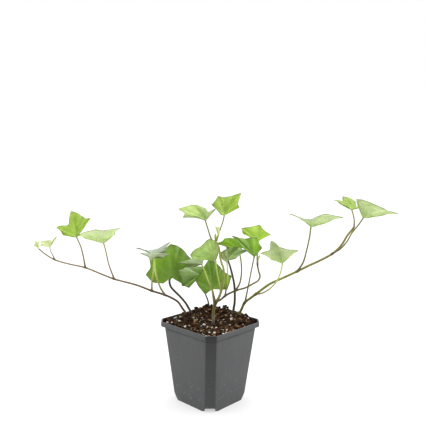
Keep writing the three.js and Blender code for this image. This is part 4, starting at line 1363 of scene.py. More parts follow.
CANES = (
    CaneShape("stem_left_runner", girth=(1.42, 0.72), stalks=LEFT_STALKS, tones=(
        (104, 79, 57), (122, 97, 68), (148, 127, 88), (160, 143, 102),
    ), path=(
        (-29.5, 16, 97), (-34, 16, 104), (-39, 15, 111.5), (-46, 13.5, 116.5), (-54, 12, 120.5),
        (-69.5, 8, 126.5), (-87, 5, 134), (-112, 0, 142), (-125, -2, 147.5), (-144.5, -6, 156.5),
        (-163.5, -9, 161.5), (-177.5, -12, 166.5), (-188, -14, 173.5), (-193, -15, 178),
        (-194.5, -16, 180),
    )),
    CaneShape("stem_back_left", girth=(1.5, 1.25), tones=(
        (74, 62, 46), (82, 70, 48), (86, 78, 46),
    ), path=(
        (-24, 20, 98), (-26.5, 21, 102.5), (-30, 21, 108.5), (-37, 20, 117), (-43.5, 20, 123.5),
        (-47.5, 20, 128), (-49.5, 20, 133.5), (-49, 18, 138.5), (-46.5, 14, 142),
    )),
    CaneShape("stem_back", girth=(1, 0.8), tones=((88, 74, 50), (94, 92, 54), (88, 108, 50)), path=(
        (-2, 35.5, 102), (-3.5, 33, 109.5), (-6, 29, 117), (-9, 22, 129.5), (-11, 17, 139.5),
        (-12.5, 14, 144.5),
    )),
    CaneShape("stem_centre", girth=(1.95, 0.95), stalks=CENTRE_STALKS, tones=(
        (36, 30, 22), (42, 34, 24), (124, 112, 62), (146, 138, 76), (158, 156, 84), (168, 168, 88),
        (176, 178, 92), (166, 162, 84), (150, 148, 78),
    ), path=(
        (3.5, -9, 93), (3.5, -2, 99.5), (4.5, -2, 110.5), (6.5, -3, 116.5), (10, -5, 123.5),
        (13, -6, 133.5), (15, -6, 147.5), (14.5, -5, 158), (12.5, -4, 163), (10.5, -3, 170.5),
        (10, -2, 177), (8.5, -1, 183), (6, 0, 187.5),
    )),
    CaneShape("branch_right", girth=(1.2, 0.92), grown_from="stem_centre", stalks=BRANCH_STALKS, tones=(
        (84, 70, 48), (116, 104, 56), (140, 132, 70), (150, 148, 78),
    ), path=(
        (8.5, -4, 118), (12.5, -2, 120), (17, 0, 123.5), (23, 2, 126.5), (31, 4, 129.5), (41, 6, 132),
        (50.5, 9, 136.5), (56, 11, 139.5), (58.5, 13, 144), (57, 15, 150), (55.5, 16, 157.5),
        (55, 17, 168), (55, 18, 177.5), (55, 18, 185.5),
    )),
    CaneShape("stem_right_thick", girth=(1.6, 1.15), tones=(
        (64, 57, 42), (74, 70, 46), (80, 82, 46),
    ), path=(
        (27.5, 17, 97), (28, 18, 103), (29, 17, 110.5), (29, 16, 123), (28, 14, 134.5), (25, 10, 148),
        (22, 7, 159), (19.5, 4, 165.5),
    )),
    CaneShape("stem_right_runner", girth=(1.6, 1.3), stalks=RIGHT_STALKS, tones=(
        (112, 102, 52), (140, 146, 58), (146, 148, 60), (140, 130, 64), (150, 140, 78),
    ), path=(
        (34.5, 15.5, 96.5), (37.5, 14.5, 104), (41, 13.5, 112), (47.5, 13, 117.5), (55, 13, 123.5),
        (70.5, 14, 135), (85, 16, 141.5), (104, 17, 150.5), (117, 18, 157), (130.5, 20, 163),
        (146, 22, 171.5), (156, 24, 181), (164, 26, 193.5), (171.5, 28, 202),
    )),
)


@dataclass
class Cane:
    """A cane with its stalks, as smooth tubes with swollen joints."""

    shape: CaneShape
    sides: int = 14
    stalk_sides: int = 10
    spacing: float = 1.1
    bury: float = 15.0
    joint_swell: float = 0.32  # how much a cane thickens at a joint, of its radius
    joint_long: float = 1.5
    ripple: float = 0.04  # how uneven a cane is, of its radius
    ripple_long: float = 3.0
    seed: int = 5
    ripe: Pair = (1.0, 0.6)  # how woody a cane is at its root and at its tip
    stalk_root: float = 0.98
    stalk_end: float = 0.8
    stalk_swell: float = 0.12  # how much a stalk thickens at its leaf
    stalk_ripe: Pair = (0.5, 0.0)
    sheath: float = 0.55  # how much a stalk thickens where it clasps the cane
    sheath_long: float = 1.6
    bud_girth: float = 0.5
    bud_point: float = 0.2  # how much it thins at its end

    def cane(self) -> Surface:
        """The cane itself.

        Formula: the radius goes evenly from root to tip, times 1 + swell·e^(-(s - j)²/2w²) at
        distance s, for the joint that counts most there, at distance j, and a small ripple.

        Returns:
            The tube with its marks.
        """
        shape = self.shape
        knots = shape.path
        if not shape.grown_from:
            x, y, z = knots[0]
            knots = ((x, y, z - self.bury), (x, y, z - self.bury / 2), *knots)
        path = Path(knots)
        joints = np.array([path.nearest(stalk.path[0]) for stalk in shape.stalks])
        first, last = shape.girth
        swell = self.joint_swell

        def near_joint(s: Array) -> Array:
            """How close each distance is to a joint, from 0 to 1."""
            gap = (s[..., None] - joints) / self.joint_long
            return np.exp(-(gap**2) / 2).max(-1, initial=0)

        def radius(s: Array) -> Array:
            """The cane's radius at each distance."""
            uneven = self.ripple * value_noise(s, 0 * s, self.ripple_long, self.seed)
            return (first + (last - first) * s / path.length) * (1 + swell * near_joint(s) + uneven)

        tube = path.tube(radius, self.sides, self.spacing)
        joint = near_joint(tube.marks["along"])
        return self.coloured(tube, path.length, shape.tones, joint, self.ripe)

    def stalk(self, stalk: Stalk) -> Surface:
        """A leaf stalk, or a short stalk that swells into a pointed bud.

        Formula: the radius goes from root to end over the first half, plus a sheath of
        e^(-s/w) at the root; a bud adds a hump, the squared sine over its last half, and thins
        to its point, where a stalk swells a little.

        Args:
            stalk: what grows there.

        Returns:
            The tube with its marks.
        """
        path = Path(stalk.path)
        bud = stalk.bears.startswith("bud")

        def radius(s: Array) -> Array:
            """The stalk's radius at each distance.

            Args:
                s: the distances from the cane.

            Returns:
                The radii.
            """
            share = s / path.length
            even = self.stalk_root + (self.stalk_end - self.stalk_root) * ease(share, 0, 0.5)
            end = self.stalk_swell * ease(share, 0.93, 1)
            if bud:
                hump = np.sin(math.pi * np.clip(2 * share - 1, 0, 1)) ** 2
                end = self.bud_girth * hump - self.bud_point * ease(share, 0.8, 1)
            return even * stalk.stout + self.sheath * np.exp(-s / self.sheath_long) + end

        tube = path.tube(radius, self.stalk_sides, 0.8 * self.spacing)
        clasp = 0.7 * np.exp(-tube.marks["along"] / self.sheath_long)
        return self.coloured(tube, path.length, stalk.tones, clasp, self.stalk_ripe)

    @staticmethod
    def coloured(tube: Surface, length: float, tones: Sequence[Colour], joint: Array,
                 ripe: Pair) -> Surface:
        """Adds the marks that the skin reads, from the mark "along".

        Args:
            tube: the bare tube.
            length: of its path.
            tones: colours at even distances.
            joint: how close each point is to a joint.
            ripe: how woody the tube is at its start and at its end.

        Returns:
            The tube, marked.
        """
        share = tube.marks.pop("along") / length
        light = linear(np.array(tones))
        stops = np.linspace(0, 1, len(tones))
        tube.marks["tint"] = np.stack([np.interp(share, stops, channel) for channel in light.T], -1)
        tube.marks["ripe"] = ripe[0] + (ripe[1] - ripe[0]) * share
        tube.marks["joint"] = joint
        return tube

    def surface(self) -> Surface:
        """The cane and its stalks as one surface."""
        return Surface.joined([self.cane(), *(self.stalk(stalk) for stalk in self.shape.stalks)])


@dataclass
class Canes:
    """All the canes, each piece with the branch that grows from it."""

    shapes: tuple[CaneShape, ...] = CANES

    def build(self) -> None:
        """Makes and dresses one piece for each rooted cane."""
        skin = CANE_SKIN.material()
        for shape in self.shapes:
            if shape.grown_from:
                continue
            family = [shape, *(other for other in self.shapes if other.grown_from == shape.name)]
            whole = Surface.joined([Cane(member).surface() for member in family])
            name = shape.name.replace("stem_", "cane_")
            dress(whole.mesh_object(name), [skin], [shape.name])


# ------------ leaf blades
@dataclass(frozen=True)
class LeafTint:
    """The colours of one side of a blade: round the foot, over the blade, at its edge and lobe tips."""

    heart: Colour
    body: Colour
    rim: Colour
    tip: Colour
    rim_wide: float = 1.2
    rim_show: float = 0.6
    tip_show: float = 0.5


@dataclass(frozen=True)
class Look:
    """The colours of a blade's two sides."""

    upper: LeafTint
    under: LeafTint


FRESH = Look(
    upper=LeafTint((166, 198, 80), (156, 188, 44), (112, 135, 66), (124, 112, 62)),
    under=LeafTint((176, 198, 100), (174, 196, 90), (132, 152, 88), (140, 128, 88)),
)
CELADON = Look(
    upper=LeafTint((152, 186, 82), (178, 204, 106), (125, 145, 82), (140, 130, 82)),
    under=LeafTint((176, 204, 112), (206, 224, 158), (150, 168, 112), (156, 146, 104)),
)
BACKLIT = Look(
    upper=LeafTint((122, 154, 58), (130, 162, 60), (96, 120, 54), (106, 108, 56)),
    under=CELADON.under,
)
MEADOW = Look(
    upper=LeafTint((122, 154, 58), (132, 164, 58), (98, 122, 52), (106, 108, 54)),
    under=LeafTint((164, 196, 84), (190, 220, 124), (146, 172, 88), (150, 148, 90)),
)
DEEP = Look(
    upper=LeafTint((120, 155, 60), (111, 147, 39), (64, 91, 34), (82, 83, 38)),
    under=LeafTint((130, 165, 76), (132, 160, 76), (88, 112, 52), (98, 98, 54)),
)
MILKY = Look(
    upper=LeafTint((220, 234, 156), (224, 236, 168), (196, 208, 138), (200, 196, 146), rim_show=0.3),
    under=LeafTint((222, 236, 166), (228, 240, 178), (196, 208, 146), (200, 196, 156), rim_show=0.3),
)
# greyish tints that paint the sheen of a blade seen at a glancing angle
GREY_SHEEN = Look(
    upper=LeafTint((150, 170, 126), (158, 170, 152), (104, 116, 92), (110, 108, 92)),
    under=LeafTint((164, 180, 144), (172, 183, 160), (116, 128, 104), (120, 118, 102)),
)
# its pale heart is painted sheen on a dark glossy blade
SHEEN = Look(
    upper=LeafTint((192, 214, 154), (124, 152, 80), (80, 106, 46), (84, 102, 50)),
    under=LeafTint((150, 174, 118), (110, 136, 74), (72, 96, 44), (80, 92, 50)),
)
LOOKS = {Tone.YOUNG: FRESH, Tone.PALE: CELADON, Tone.GROWN: DEEP}


@dataclass(frozen=True)
class LeafShape:
    """One blade: where its stalk meets it, its lobes round the edge, its main veins and its colours."""

    name: str
    tone: Tone
    foot: Point  # where the stalk meets the blade
    lobes: tuple[Point, ...]  # from the foot to each lobe tip, round the edge
    dips: tuple[float, ...]  # how deep the edge cuts back between one lobe and the next
    ribs: tuple[int, ...] = ()  # numbers of the lobes that a main vein runs to, or else all
    shades: tuple[float, ...] = ()  # painted light and shade of each lobe as it catches the light, of its look's own tone, or else 1
    painted_sheen: tuple[float, ...] = ()  # how much painted grey sheen lies on each lobe, or else none
    look: Look | None = None  # its colours, where they aren't its tone's usual ones
    matt: bool = False  # whether it has no gloss, as a blade that the light comes through looks


LEAVES = (
    LeafShape("leaf_left_1", Tone.YOUNG, foot=(-194.5, -16, 180), look=MILKY, lobes=(
        (-4, -4, 4.5), (-0.5, -9, 11), (1.5, -4, 9.5),
    ), dips=(0.1, 0.15), shades=(1.31,) * 3),
    LeafShape("leaf_left_2", Tone.PALE, foot=(-183, -12, 181.5), look=MILKY, lobes=(
        (-0.5, -16, 3), (-7, -12, 3), (-13, 6, 5.5), (-6, 14, 5), (6.5, 6, 11),
    ), dips=(0.1, 0.1, 0.1, 0.35), ribs=(0, 2, 4), shades=(0.68,) * 5),
    LeafShape("leaf_left_3", Tone.YOUNG, foot=(-154, -6, 192), lobes=(
        (-13.5, -6, 3), (-21.5, -5, 11.5), (-9.5, 16, 28), (3.5, 16, 22), (14, 12, 20.5), (8, 3, 10),
    ), dips=(0.05, 0.34, 0, 0.1, 0.05), ribs=(1, 2, 4), shades=(1.14, 1.16, 1.09, 1.09, 1.14, 1.2)),
    LeafShape("leaf_left_4", Tone.PALE, foot=(-123.5, -4, 185), look=BACKLIT, lobes=(
        (13.5, -4, 11), (22.5, -20, 20.5), (6.5, -30, 19), (-12.5, -28, 17.5), (-25.5, -20, 11),
        (-20.5, -8, 7),
    ), dips=(0.15, 0.12, 0, 0.05, 0), ribs=(1, 2, 4), shades=(1.35, 1.4, 1.19, 1.24, 1.4, 1.46)),
    LeafShape("leaf_left_5", Tone.GROWN, foot=(-65.5, -5, 171), look=GREY_SHEEN, lobes=(
        (-8.5, -4, 7), (-20.5, -3, 9.5), (-4, 17, 3.5), (18.5, 9, 15.5), (14, -3, 6.5),
    ), dips=(0, 0.35, 0.25, 0.1), ribs=(1, 2, 3), shades=(0.92, 0.92, 1, 0.9, 0.85)),
    LeafShape("leaf_left_6", Tone.GROWN, foot=(-63, -25, 173), look=FRESH, lobes=(
        (-2, -15, -1), (-15, -7, 6.5), (0.5, 11, 3.5), (17, 3, 3.5), (10.5, -9, 1.5),
    ), dips=(0.25, 0.15, 0.1, 0.05), ribs=(0, 1, 3),
        shades=(0.29, 0.38, 0.32, 0.27, 0.25), painted_sheen=(0.15, 0.6, 0.4, 0.05, 0)),
    LeafShape("leaf_back_left", Tone.GROWN, foot=(-46.5, 14, 142), lobes=(
        (-10, -2, -7.5), (-22, -4, -5.5), (-30, -5, 3), (-26, -1, 23.5), (-2, 10, 38), (8, 12, 34.5),
        (18, 12, 24.5), (26, 13, 11), (18, 10, -14.5),
    ), dips=(0, 0, 0.1, 0.06, 0, 0, 0, 0), ribs=(1, 3, 4, 7),
        shades=(2.04, 1.87, 1.54, 1.71, 1.49, 1.32, 1.21, 1.26, 1.54)),
    LeafShape("leaf_back", Tone.GROWN, foot=(-12.5, 14, 144.5), lobes=(
        (-12.5, -16, -11.5), (-21, -14, -9.5), (-26.5, -10, 7.5), (-18, 0, 9.5), (1.5, 5, 9.5),
        (5, 1, 5),
    ), dips=(0, 0.05, 0.05, 0, 0), ribs=(1, 2, 3),
        shades=(1.16, 1.36, 1.71, 1.86, 1.64, 1.71), painted_sheen=(0, 0.05, 0.35, 0.5, 0.2, 0)),
    LeafShape("leaf_mid_left_high", Tone.GROWN, foot=(-10.5, -8, 162.5), lobes=(
        (-12, -6, -2), (-26, 0, 1.5), (-14, 14, 2.5), (2, 14, 2),
    ), dips=(0, 0.1, 0.05), ribs=(0, 1, 2), shades=(0.36, 0.92, 0.71, 0.66), painted_sheen=(0, 0, 0.1, 0.15)),
    LeafShape("leaf_front", Tone.GROWN, foot=(2, 1, 132), lobes=(
        (-8, -5, -6), (-15.5, -4, 2.5), (-20.5, -3, 10.5), (-9.5, 6, 25.5), (-3.5, 11, 32),
        (5, 10, 27.5), (12, 7, 20), (22.5, 3, 14.5), (17.5, -3, -0.5),
    ), dips=(0, 0, 0.04, 0, 0, 0, 0.04, 0), ribs=(2, 4, 7, 8),
        shades=(1.33, 1.67, 1.55, 1.55, 1.22, 1.17, 1.39, 1.67, 1.55)),
    LeafShape("leaf_centre_pale", Tone.PALE, foot=(5.5, -8, 167.5), look=MEADOW, lobes=(
        (3.5, -4, 10.5), (2, -12, 21.5), (-4, -17, 26), (-9.5, -18, 26.5), (-17.5, -15, 18),
        (-28, -11, 9), (-26.5, -9, 2.5),
    ), dips=(0, 0, 0, 0.05, 0, 0), ribs=(1, 3, 5), shades=(0.96, 1.02, 1.1, 1.16, 1.16, 1.13, 1.19)),
    LeafShape("leaf_top_left", Tone.PALE, foot=(-7, 3, 212), lobes=(
        (-13, -17, 7), (-24.5, -17, 5), (-30.5, -9, 14), (-17, 9, 17), (-2.5, 11, 13.5), (12, 1, 13),
    ), dips=(0, 0.14, 0.05, 0, 0.34), ribs=(1, 2, 3, 5),
        shades=(1.03, 1.03, 1.03, 1.03, 0.98, 0.88), painted_sheen=(0.1, 0.05, 0, 0, 0.15, 0.35)),
    LeafShape("leaf_top_right", Tone.YOUNG, foot=(15, 5, 218.5), lobes=(
        (-3.5, -3, 0), (-15, -3, 11.5), (-7.5, 9, 21), (-0.5, 13, 19), (20, 15, 24.5), (16.5, 8, 15.5),
        (17.5, 3, 8.5),
    ), dips=(0.04, 0.04, 0.04, 0.06, 0, 0.09), ribs=(1, 2, 4, 6),
        shades=(1.16, 1.05, 0.95, 0.92, 1.03, 1.21, 1.47)),
    LeafShape("leaf_top_bud", Tone.YOUNG, foot=(8, -3, 196.5), look=MILKY, lobes=(
        (-3.5, -3, 10), (1, 1, 9), (2, 3, 2.5),
    ), dips=(0.1, 0), shades=(0.92, 0.92, 0.87)),
    LeafShape("leaf_right_high", Tone.YOUNG, foot=(55, 18, 185.5), lobes=(
        (-9, -5, 5.5), (-17.5, -4, 9.5), (-19.5, -2, 16), (3, 12, 18.5), (16, 2, 8), (6, -4, 4.5),
    ), dips=(0, 0, 0.06, 0.12, 0.1), ribs=(2, 3, 4), shades=(1.41, 1.24, 1.24, 1.3, 1.62, 1.73)),
    LeafShape("leaf_small_mid", Tone.PALE, foot=(18.5, -8, 165), look=FRESH, lobes=(
        (-6, -6, 5), (-7.5, -6, 13), (0, -2, 15.5), (2, 0, 7.5),
    ), dips=(0.1, 0.05, 0.1), shades=(0.75, 0.7, 0.75, 0.72), painted_sheen=(0.3, 0.15, 0.25, 0.45)),
    LeafShape("leaf_behind", Tone.GROWN, foot=(34, 24, 174), matt=True, lobes=(
        (-14.5, -8, 1), (-27, -4, 8), (-17.5, 8, 12.5), (-4, 12, 11.5), (9.5, 6, 7.5),
    ), dips=(0.2, 0.08, 0, 0.1), ribs=(0, 1, 3), shades=(1.31, 1.31, 1.39, 1.35, 1.31)),
    LeafShape("leaf_right_thick", Tone.GROWN, foot=(19.5, 4, 165.5), look=SHEEN, lobes=(
        (-8, -3, 3.5), (-7.5, 0, 9), (1.5, 5, 12.5), (13.5, 7, 14), (22.5, -2, 11), (8.5, -14, 4.5),
    ), dips=(0, 0, 0, 0.05, 0.05), ribs=(1, 3, 4, 5), shades=(1.37, 1.37, 1.25, 1.44, 1.19, 1.25)),
    LeafShape("leaf_right_1", Tone.GROWN, foot=(50.5, 3, 170), lobes=(
        (-16, -7, 13), (-27, -1, 24.5), (-11, 3, 20.5), (2.5, 5, 22), (9, 1, 10),
    ), dips=(0, 0.05, 0, 0.08), ribs=(1, 3, 4), shades=(1.62, 1.14, 1.49, 2.75, 1.91)),
    LeafShape("leaf_right_2", Tone.PALE, foot=(83.5, 4, 162.5), look=BACKLIT, lobes=(
        (8.5, -2, 8), (16.5, -12, 17.5), (-5.5, -18, 22), (-15.5, -18, 29), (-26.5, -12, 13),
        (-14.5, 0, 5),
    ), dips=(0.1, 0.12, 0, 0.22, 0.05), ribs=(1, 3, 4), shades=(1.25, 1.25, 0.96, 0.98, 1.25, 1.42)),
    LeafShape("leaf_right_3", Tone.PALE, foot=(116.5, 10, 204.5), look=BACKLIT, lobes=(
        (16.5, -4, 5.5), (33, -20, 14), (10.5, -28, 19), (-4, -22, 11.5), (-29.5, -20, 18),
        (-5.5, 1, 6),
    ), dips=(0.05, 0.08, 0.1, 0.3, 0), ribs=(1, 2, 4), shades=(1.24, 1.24, 1.08, 0.88, 1.03, 1.13)),
    LeafShape("leaf_right_4", Tone.YOUNG, foot=(167.5, 27, 224), lobes=(
        (-15, -9, 6.5), (-23, -5, 11.5), (-8.5, 11, 15), (8, 15, 8.5), (9, 3, 1.5),
    ), dips=(0, 0.3, 0, 0.2), ribs=(1, 2, 3), shades=(0.94, 0.9, 0.9, 0.86, 0.94)),
    LeafShape("leaf_right_5", Tone.PALE, foot=(180.5, 22, 214.5), look=BACKLIT, lobes=(
        (22.5, -2, 3.5), (38, -12, 7), (19.5, -16, 13), (-10, -14, 23.5), (-10, -8, 16.5),
    ), dips=(0.1, 0.12, 0, 0), ribs=(0, 1, 2, 3), shades=(1.24, 1.3, 1.24, 1.1, 1.13)),
)


@dataclass
class Blade:
    """A thin lobed blade, arched between foot and edge and puffed up between its veins."""

    shape: LeafShape
    seed: int
    thick: float = 0.5
    gap_steps: int = 16  # points between two lobe tips
    foot_steps: int = 8  # points from the last lobe to the stalk
    ring_count: int = 24
    heel: float = 0.8  # how far the blade reaches behind the stalk
    dome: float = 0.055  # rise midway out, of the reach
    wave: float = 0.06  # lift of the edge between two lobes, of the reach
    basal_round: float = 0.13  # how far the edge beside the stalk is rounded out
    steepest: float = 0.5  # least level that the thickness is divided by
    soft_dip: float = 0.04  # lobes between smaller dips run into one curve
    puff: float = 0.55  # rise between two main veins
    puff_wide: float = 2.4
    ruffle: float = 0.35  # small waves of the edge
    ruffle_long: float = 4.5
    vein_wide: Pair = (0.34, 0.14)  # width of a main vein at the foot and at its end
    vein_gap: float = 4.6  # from one side vein to the next
    vein_lean: float = 0.7  # how far side veins lean back
    tip_wide: float = 2.6
    cloud_wide: float = 7.0
    cloud_show: float = 0.085
    # colour of the painted sheen
    sheen_colour: Colour = (196, 204, 186)

    def up(self) -> Array:
        """The way the upper side looks: the mean of the normals between the lobes."""
        tips = np.array(self.shape.lobes, float)
        return unit(np.cross(tips[1:], tips[:-1]).sum(0))

    def heel_reach(self, up: Array) -> Array:
        """The short reach behind the foot, midway between the last lobe and the first.

        Formula: the first lobe laid flat, turned about the blade's up by pi less half the sum
        of the angles between the lobes.

        Args:
            up: the way the upper side looks.

        Returns:
            The reach as a vector from the foot.
        """
        tips = np.array(self.shape.lobes, float)
        flat = unit(tips - (tips @ up)[:, None] * up)
        between = np.arccos(np.clip((flat[1:] * flat[:-1]).sum(1), -1, 1))
        angle = math.pi - between.sum() / 2
        first = flat[0]
        return self.heel * (first * math.cos(angle) + np.cross(up, first) * math.sin(angle))

    def edge(self) -> tuple[Array, Array]:
        """The edge as vectors from the foot, and how far it lifts between the lobes.

        Formula: a cubic stretch from tip to tip, drawn in by the dip times sin²(pi t); then a
        straight run from the last lobe to the heel, rounded out by a share of sin²(2 pi t), and
        one from the heel to the first lobe. A lobe whose neighbouring dips are both soft takes
        half the step from the lobe before it to the one after it as its heading.

        Returns:
            The reaches and the lifts, one for each point of the edge.
        """
        tips, dips = np.array(self.shape.lobes, float), np.array(self.shape.dips, float)
        chords = np.diff(tips, axis=0)
        soft = np.zeros(len(tips), bool)
        soft[1:-1] = (dips[:-1] < self.soft_dip) & (dips[1:] < self.soft_dip)
        middle = np.zeros_like(tips)
        middle[1:-1] = (tips[2:] - tips[:-2]) / 2
        leaving = np.where(soft[:-1, None], middle[:-1], chords)
        arriving = np.where(soft[1:, None], middle[1:], chords)
        t = (np.arange(self.gap_steps) / self.gap_steps)[None, :, None]
        swing = np.sin(math.pi * t) ** 2
        reach = hermite(tips[:-1, None], leaving[:, None], tips[1:, None], arriving[:, None], t)
        reach = reach * (1 - dips[:, None, None] * swing)
        lift = np.append(np.broadcast_to(swing[..., 0], reach.shape[:2]), np.zeros(2 * self.foot_steps))
        heel = self.heel_reach(self.up())
        t = (np.arange(self.foot_steps) / self.foot_steps)[:, None]
        back = (tips[-1] + (heel - tips[-1]) * t) * (1 + self.basal_round * np.sin(2 * math.pi * t) ** 2)
        forth = heel + (tips[0] - heel) * t
        return np.vstack([reach.reshape(-1, 3), back, forth]), lift

    def ribs(self) -> Array:
        """The main veins as vectors from the foot."""
        chosen = self.shape.ribs or range(len(self.shape.lobes))
        return np.array([self.shape.lobes[number] for number in chosen], float)

    def veins(self, flat: Array) -> tuple[Array, Array, Array]:
        """How each point lies to its nearest main vein.

        Formula: a point's distance along a vein is its dot product with the vein's direction,
        and its distance across is what is left of it; the nearest vein is the one with the
        least distance across.

        Args:
            flat: the blade's points before it is arched, as vectors from the foot.

        Returns:
            The distance across and along, and the share of the vein's length.
        """
        ribs = self.ribs()
        length = np.linalg.norm(ribs, axis=1)
        along = np.clip(flat @ (ribs / length[:, None]).T, 0, length)
        across = np.linalg.norm(flat[:, None] - along[..., None] * (ribs / length[:, None]), axis=-1)
        nearest = across.argmin(1)
        row = np.arange(len(flat))
        return across[row, nearest], along[row, nearest], along[row, nearest] / length[nearest]

    def middle(self) -> tuple[Array, dict[str, Array], Array]:
        """The blade's middle surface, the foot first, then ring after ring out to the edge.

        Formula: foot + reach·out + up·rise, where the rise is the reach's length times
        dome·4·out·(1 - out) + wave·lift·out², plus a puff of 1 - e^(-(across/width)²) between
        the veins and small waves near the edge.

        Returns:
            The points, their measures, and the edge's reaches.
        """
        reach, lift = self.edge()
        up = self.up()
        out = 1 - (1 - np.linspace(0, 1, self.ring_count + 1)[1:]) ** 1.5
        length = np.linalg.norm(reach, axis=1)
        flat = (reach[None] * out[:, None, None]).reshape(-1, 3)
        far = np.repeat(out, len(reach))
        size = np.tile(length, len(out))
        rise = size * (self.dome * 4 * far * (1 - far) + self.wave * np.tile(lift, len(out)) * far**2)
        across, along, share = self.veins(flat)
        puff = 1 - np.exp(-((across / self.puff_wide) ** 2))
        rise += self.puff * puff * ease(far, 0, 0.4) * (1 - far**6)
        round_edge = np.append(0, np.cumsum(np.linalg.norm(np.diff(reach, axis=0), axis=1)))
        wave = np.tile(value_noise(round_edge, 0 * round_edge, self.ruffle_long, self.seed), len(out))
        rise += self.ruffle * wave * ease(far, 0.45, 1) * ease(size, 3, 9)
        points = np.vstack([[0, 0, 0], flat + up * rise[:, None]]) + np.array(self.shape.foot)
        margin = size * (1 - far)
        measures = {"across": across, "along": along, "share": share, "out": far, "margin": margin}
        at_foot = dict.fromkeys(measures, 0.0) | {"margin": 1.0}
        return points, {key: np.append(at_foot[key], value) for key, value in measures.items()}, reach

    def slopes(self, points: Array, count: int) -> Array:
        """How level the blade is at each point, from 1 where it faces up down to the steepest allowed.

        Args:
            points: the middle surface, the foot first.
            count: how many points each ring has.

        Returns:
            One value for each point.
        """
        grid = points[1:].reshape(-1, count, 3)
        foot = np.broadcast_to(points[0], (1, count, 3))
        outward = np.gradient(np.concatenate([foot, grid]), axis=0)[1:]
        around = np.roll(grid, -1, axis=1) - np.roll(grid, 1, axis=1)
        level = abs(unit(np.cross(outward, around)) @ self.up())
        return np.append(1.0, np.maximum(self.steepest, level))

    def carried_in(self, values: tuple[float, ...], out: Array) -> Array:
        """A value of each lobe, carried evenly round the edge and in towards the foot.

        Formula: at the edge it goes evenly from lobe to lobe; inwards it eases into the mean.

        Args:
            values: one for each lobe.
            out: how far out each point lies, the foot first.

        Returns:
            One value for each point.
        """
        tips = self.gap_steps * np.arange(len(values))
        count = int(tips[-1]) + 2 * self.foot_steps
        edge = np.interp(np.arange(count), [*tips, count], [*values, values[0]])
        mean = edge.mean()
        rings = (len(out) - 1) // count
        return mean + (np.append(mean, np.tile(edge, rings)) - mean) * ease(out, 0, 0.4)

    def shades(self, out: Array, shown: bool) -> Array:
        """How light the blade is at its points; the side that the photograph hides keeps the pattern.

        Args:
            out: how far out each point lies, the foot first.
            shown: whether the photograph shows this side.

        Returns:
            One factor of painted light and shade for each point, with a mean near 1 on the hidden side.
        """
        # painted light and shade: each lobe lighter or darker as its tilt catches the light
        values = self.shape.shades or (1.0,) * len(self.shape.lobes)
        level = 1.0 if shown else float(np.mean(values))
        return self.carried_in(values, out) / level

    def tinted(self, tint: LeafTint, measures: dict[str, Array], points: Array, shown: bool) -> Array:
        """The colours of one side at its points.

        Formula: from heart to body over the first half of the way out, times the painted light and
        shade of the lobes, then the painted sheen over it, the rim by e^(-(margin/width)²), the
        tip's colour by e^(-d²/2w²) at distance d from a vein's end, and broad clouds that are a
        little lighter or darker.

        Args:
            tint: the side's colours.
            measures: what the middle surface measured.
            points: the points themselves.
            shown: whether the photograph shows this side.

        Returns:
            One colour for each point.
        """
        heart, body, rim, tip = (linear(colour) for colour in (tint.heart, tint.body, tint.rim, tint.tip))
        colour = blend(heart, body, ease(measures["out"], 0.02, 0.5))
        colour = colour * self.shades(measures["out"], shown)[:, None]
        # painted sheen: grey laid over lobes where a glossy blade would reflect the bright surroundings
        if self.shape.painted_sheen:
            painted_sheen = self.carried_in(self.shape.painted_sheen, measures["out"])
            colour = blend(colour, linear(self.sheen_colour), painted_sheen)
        colour = blend(colour, rim, tint.rim_show * np.exp(-((measures["margin"] / tint.rim_wide) ** 2)))
        ends = np.array(self.shape.foot) + self.ribs()
        gap = np.linalg.norm(points[:, None] - ends, axis=-1).min(1)
        colour = blend(colour, tip, tint.tip_show * np.exp(-((gap / self.tip_wide) ** 2) / 2))
        x, y, z = points.T
        cloud = value_noise(x + y, z - y, self.cloud_wide, self.seed)
        return colour * (1 + self.cloud_show * cloud)[:, None]

    def surface(self) -> tuple[Surface, int]:
        """The blade with its thickness and a rounded edge.

        Formula: the two sides lie along the blade's up by half the thickness over the slope; a
        middle ring stands out by a third of the thickness to round the edge.

        Returns:
            The closed surface, and how many of its first faces belong to the upper side.
        """
        middle, measures, reach = self.middle()
        count = len(reach)
        half = (self.thick / 2 / self.slopes(middle, count))[:, None] * self.up()
        rim = middle[-count:] + unit(reach) * self.thick / 3
        under = len(middle)
        rings = np.arange(1, under).reshape(-1, count)
        upper = [fan_faces(0, rings[0]), band_faces(rings)]
        lower = [table[:, ::-1] + under for table in upper]
        around = 2 * under + np.arange(count)
        lips = band_faces(np.array([rings[-1], around, rings[-1] + under]))
        look = self.shape.look or LOOKS[self.shape.tone]
        sight = np.array(Studio.camera_place) / MM - self.shape.foot
        upper_shown = bool(self.up() @ sight > 0)
        sides = [self.tinted(tint, measures, middle, shown)
                 for tint, shown in ((look.upper, upper_shown), (look.under, not upper_shown))]
        wide = self.vein_wide[0] + (self.vein_wide[1] - self.vein_wide[0]) * measures["share"]
        marks = {
            "rib": measures["across"] / wide,
            "branching": (measures["along"] - self.vein_lean * measures["across"]) / self.vein_gap,
            "margin": measures["margin"],
        }
        carried = {key: np.concatenate([value, value, value[-count:]]) for key, value in marks.items()}
        carried["tint"] = np.concatenate([*sides, sides[0][-count:]])
        whole = Surface(np.vstack([middle + half, middle - half, rim]), [*upper, lips, *lower], carried)
        return whole, sum(len(table) for table in (*upper, lips))

    def build(self, skins: Sequence[Material]) -> None:
        """Makes and dresses the blade.

        Args:
            skins: the materials of the upper side and the underside.
        """
        whole, upper = self.surface()
        made = whole.mesh_object(self.shape.name.replace("leaf_", "blade_"))
        side = np.ones(len(made.data.polygons), np.int32)
        side[:upper] = 0
        made.data.polygons.foreach_set("material_index", side)
        dress(made, skins, [self.shape.name])


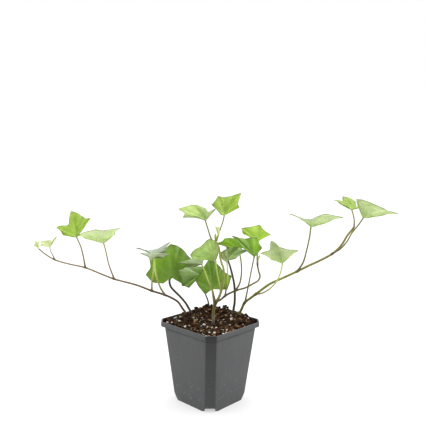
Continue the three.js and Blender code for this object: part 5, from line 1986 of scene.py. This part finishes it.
@dataclass
class Foliage:
    """All the leaf blades."""

    shapes: tuple[LeafShape, ...] = LEAVES
    seed: int = 100

    def build(self) -> None:
        """Makes and dresses every blade, with one pair of materials for each tone."""
        skins = {tone: [side.material() for side in pair] for tone, pair in LEAF_SKINS.items()}
        matt = [side.material() for side in MATT_SKINS]
        for number, shape in enumerate(self.shapes):
            Blade(shape, self.seed + number).build(matt if shape.matt else skins[shape.tone])


def main() -> None:
    """Builds the studio, the pot, the compost, the canes and the leaves."""
    logging.basicConfig(level=logging.INFO, format="%(name)s: %(message)s")
    Studio().build()
    pot = Pot()
    pot.build()
    Compost(pot).build()
    Canes().build()
    Foliage().build()
    log.info("boxes written")


if __name__ == "__main__":
    main()
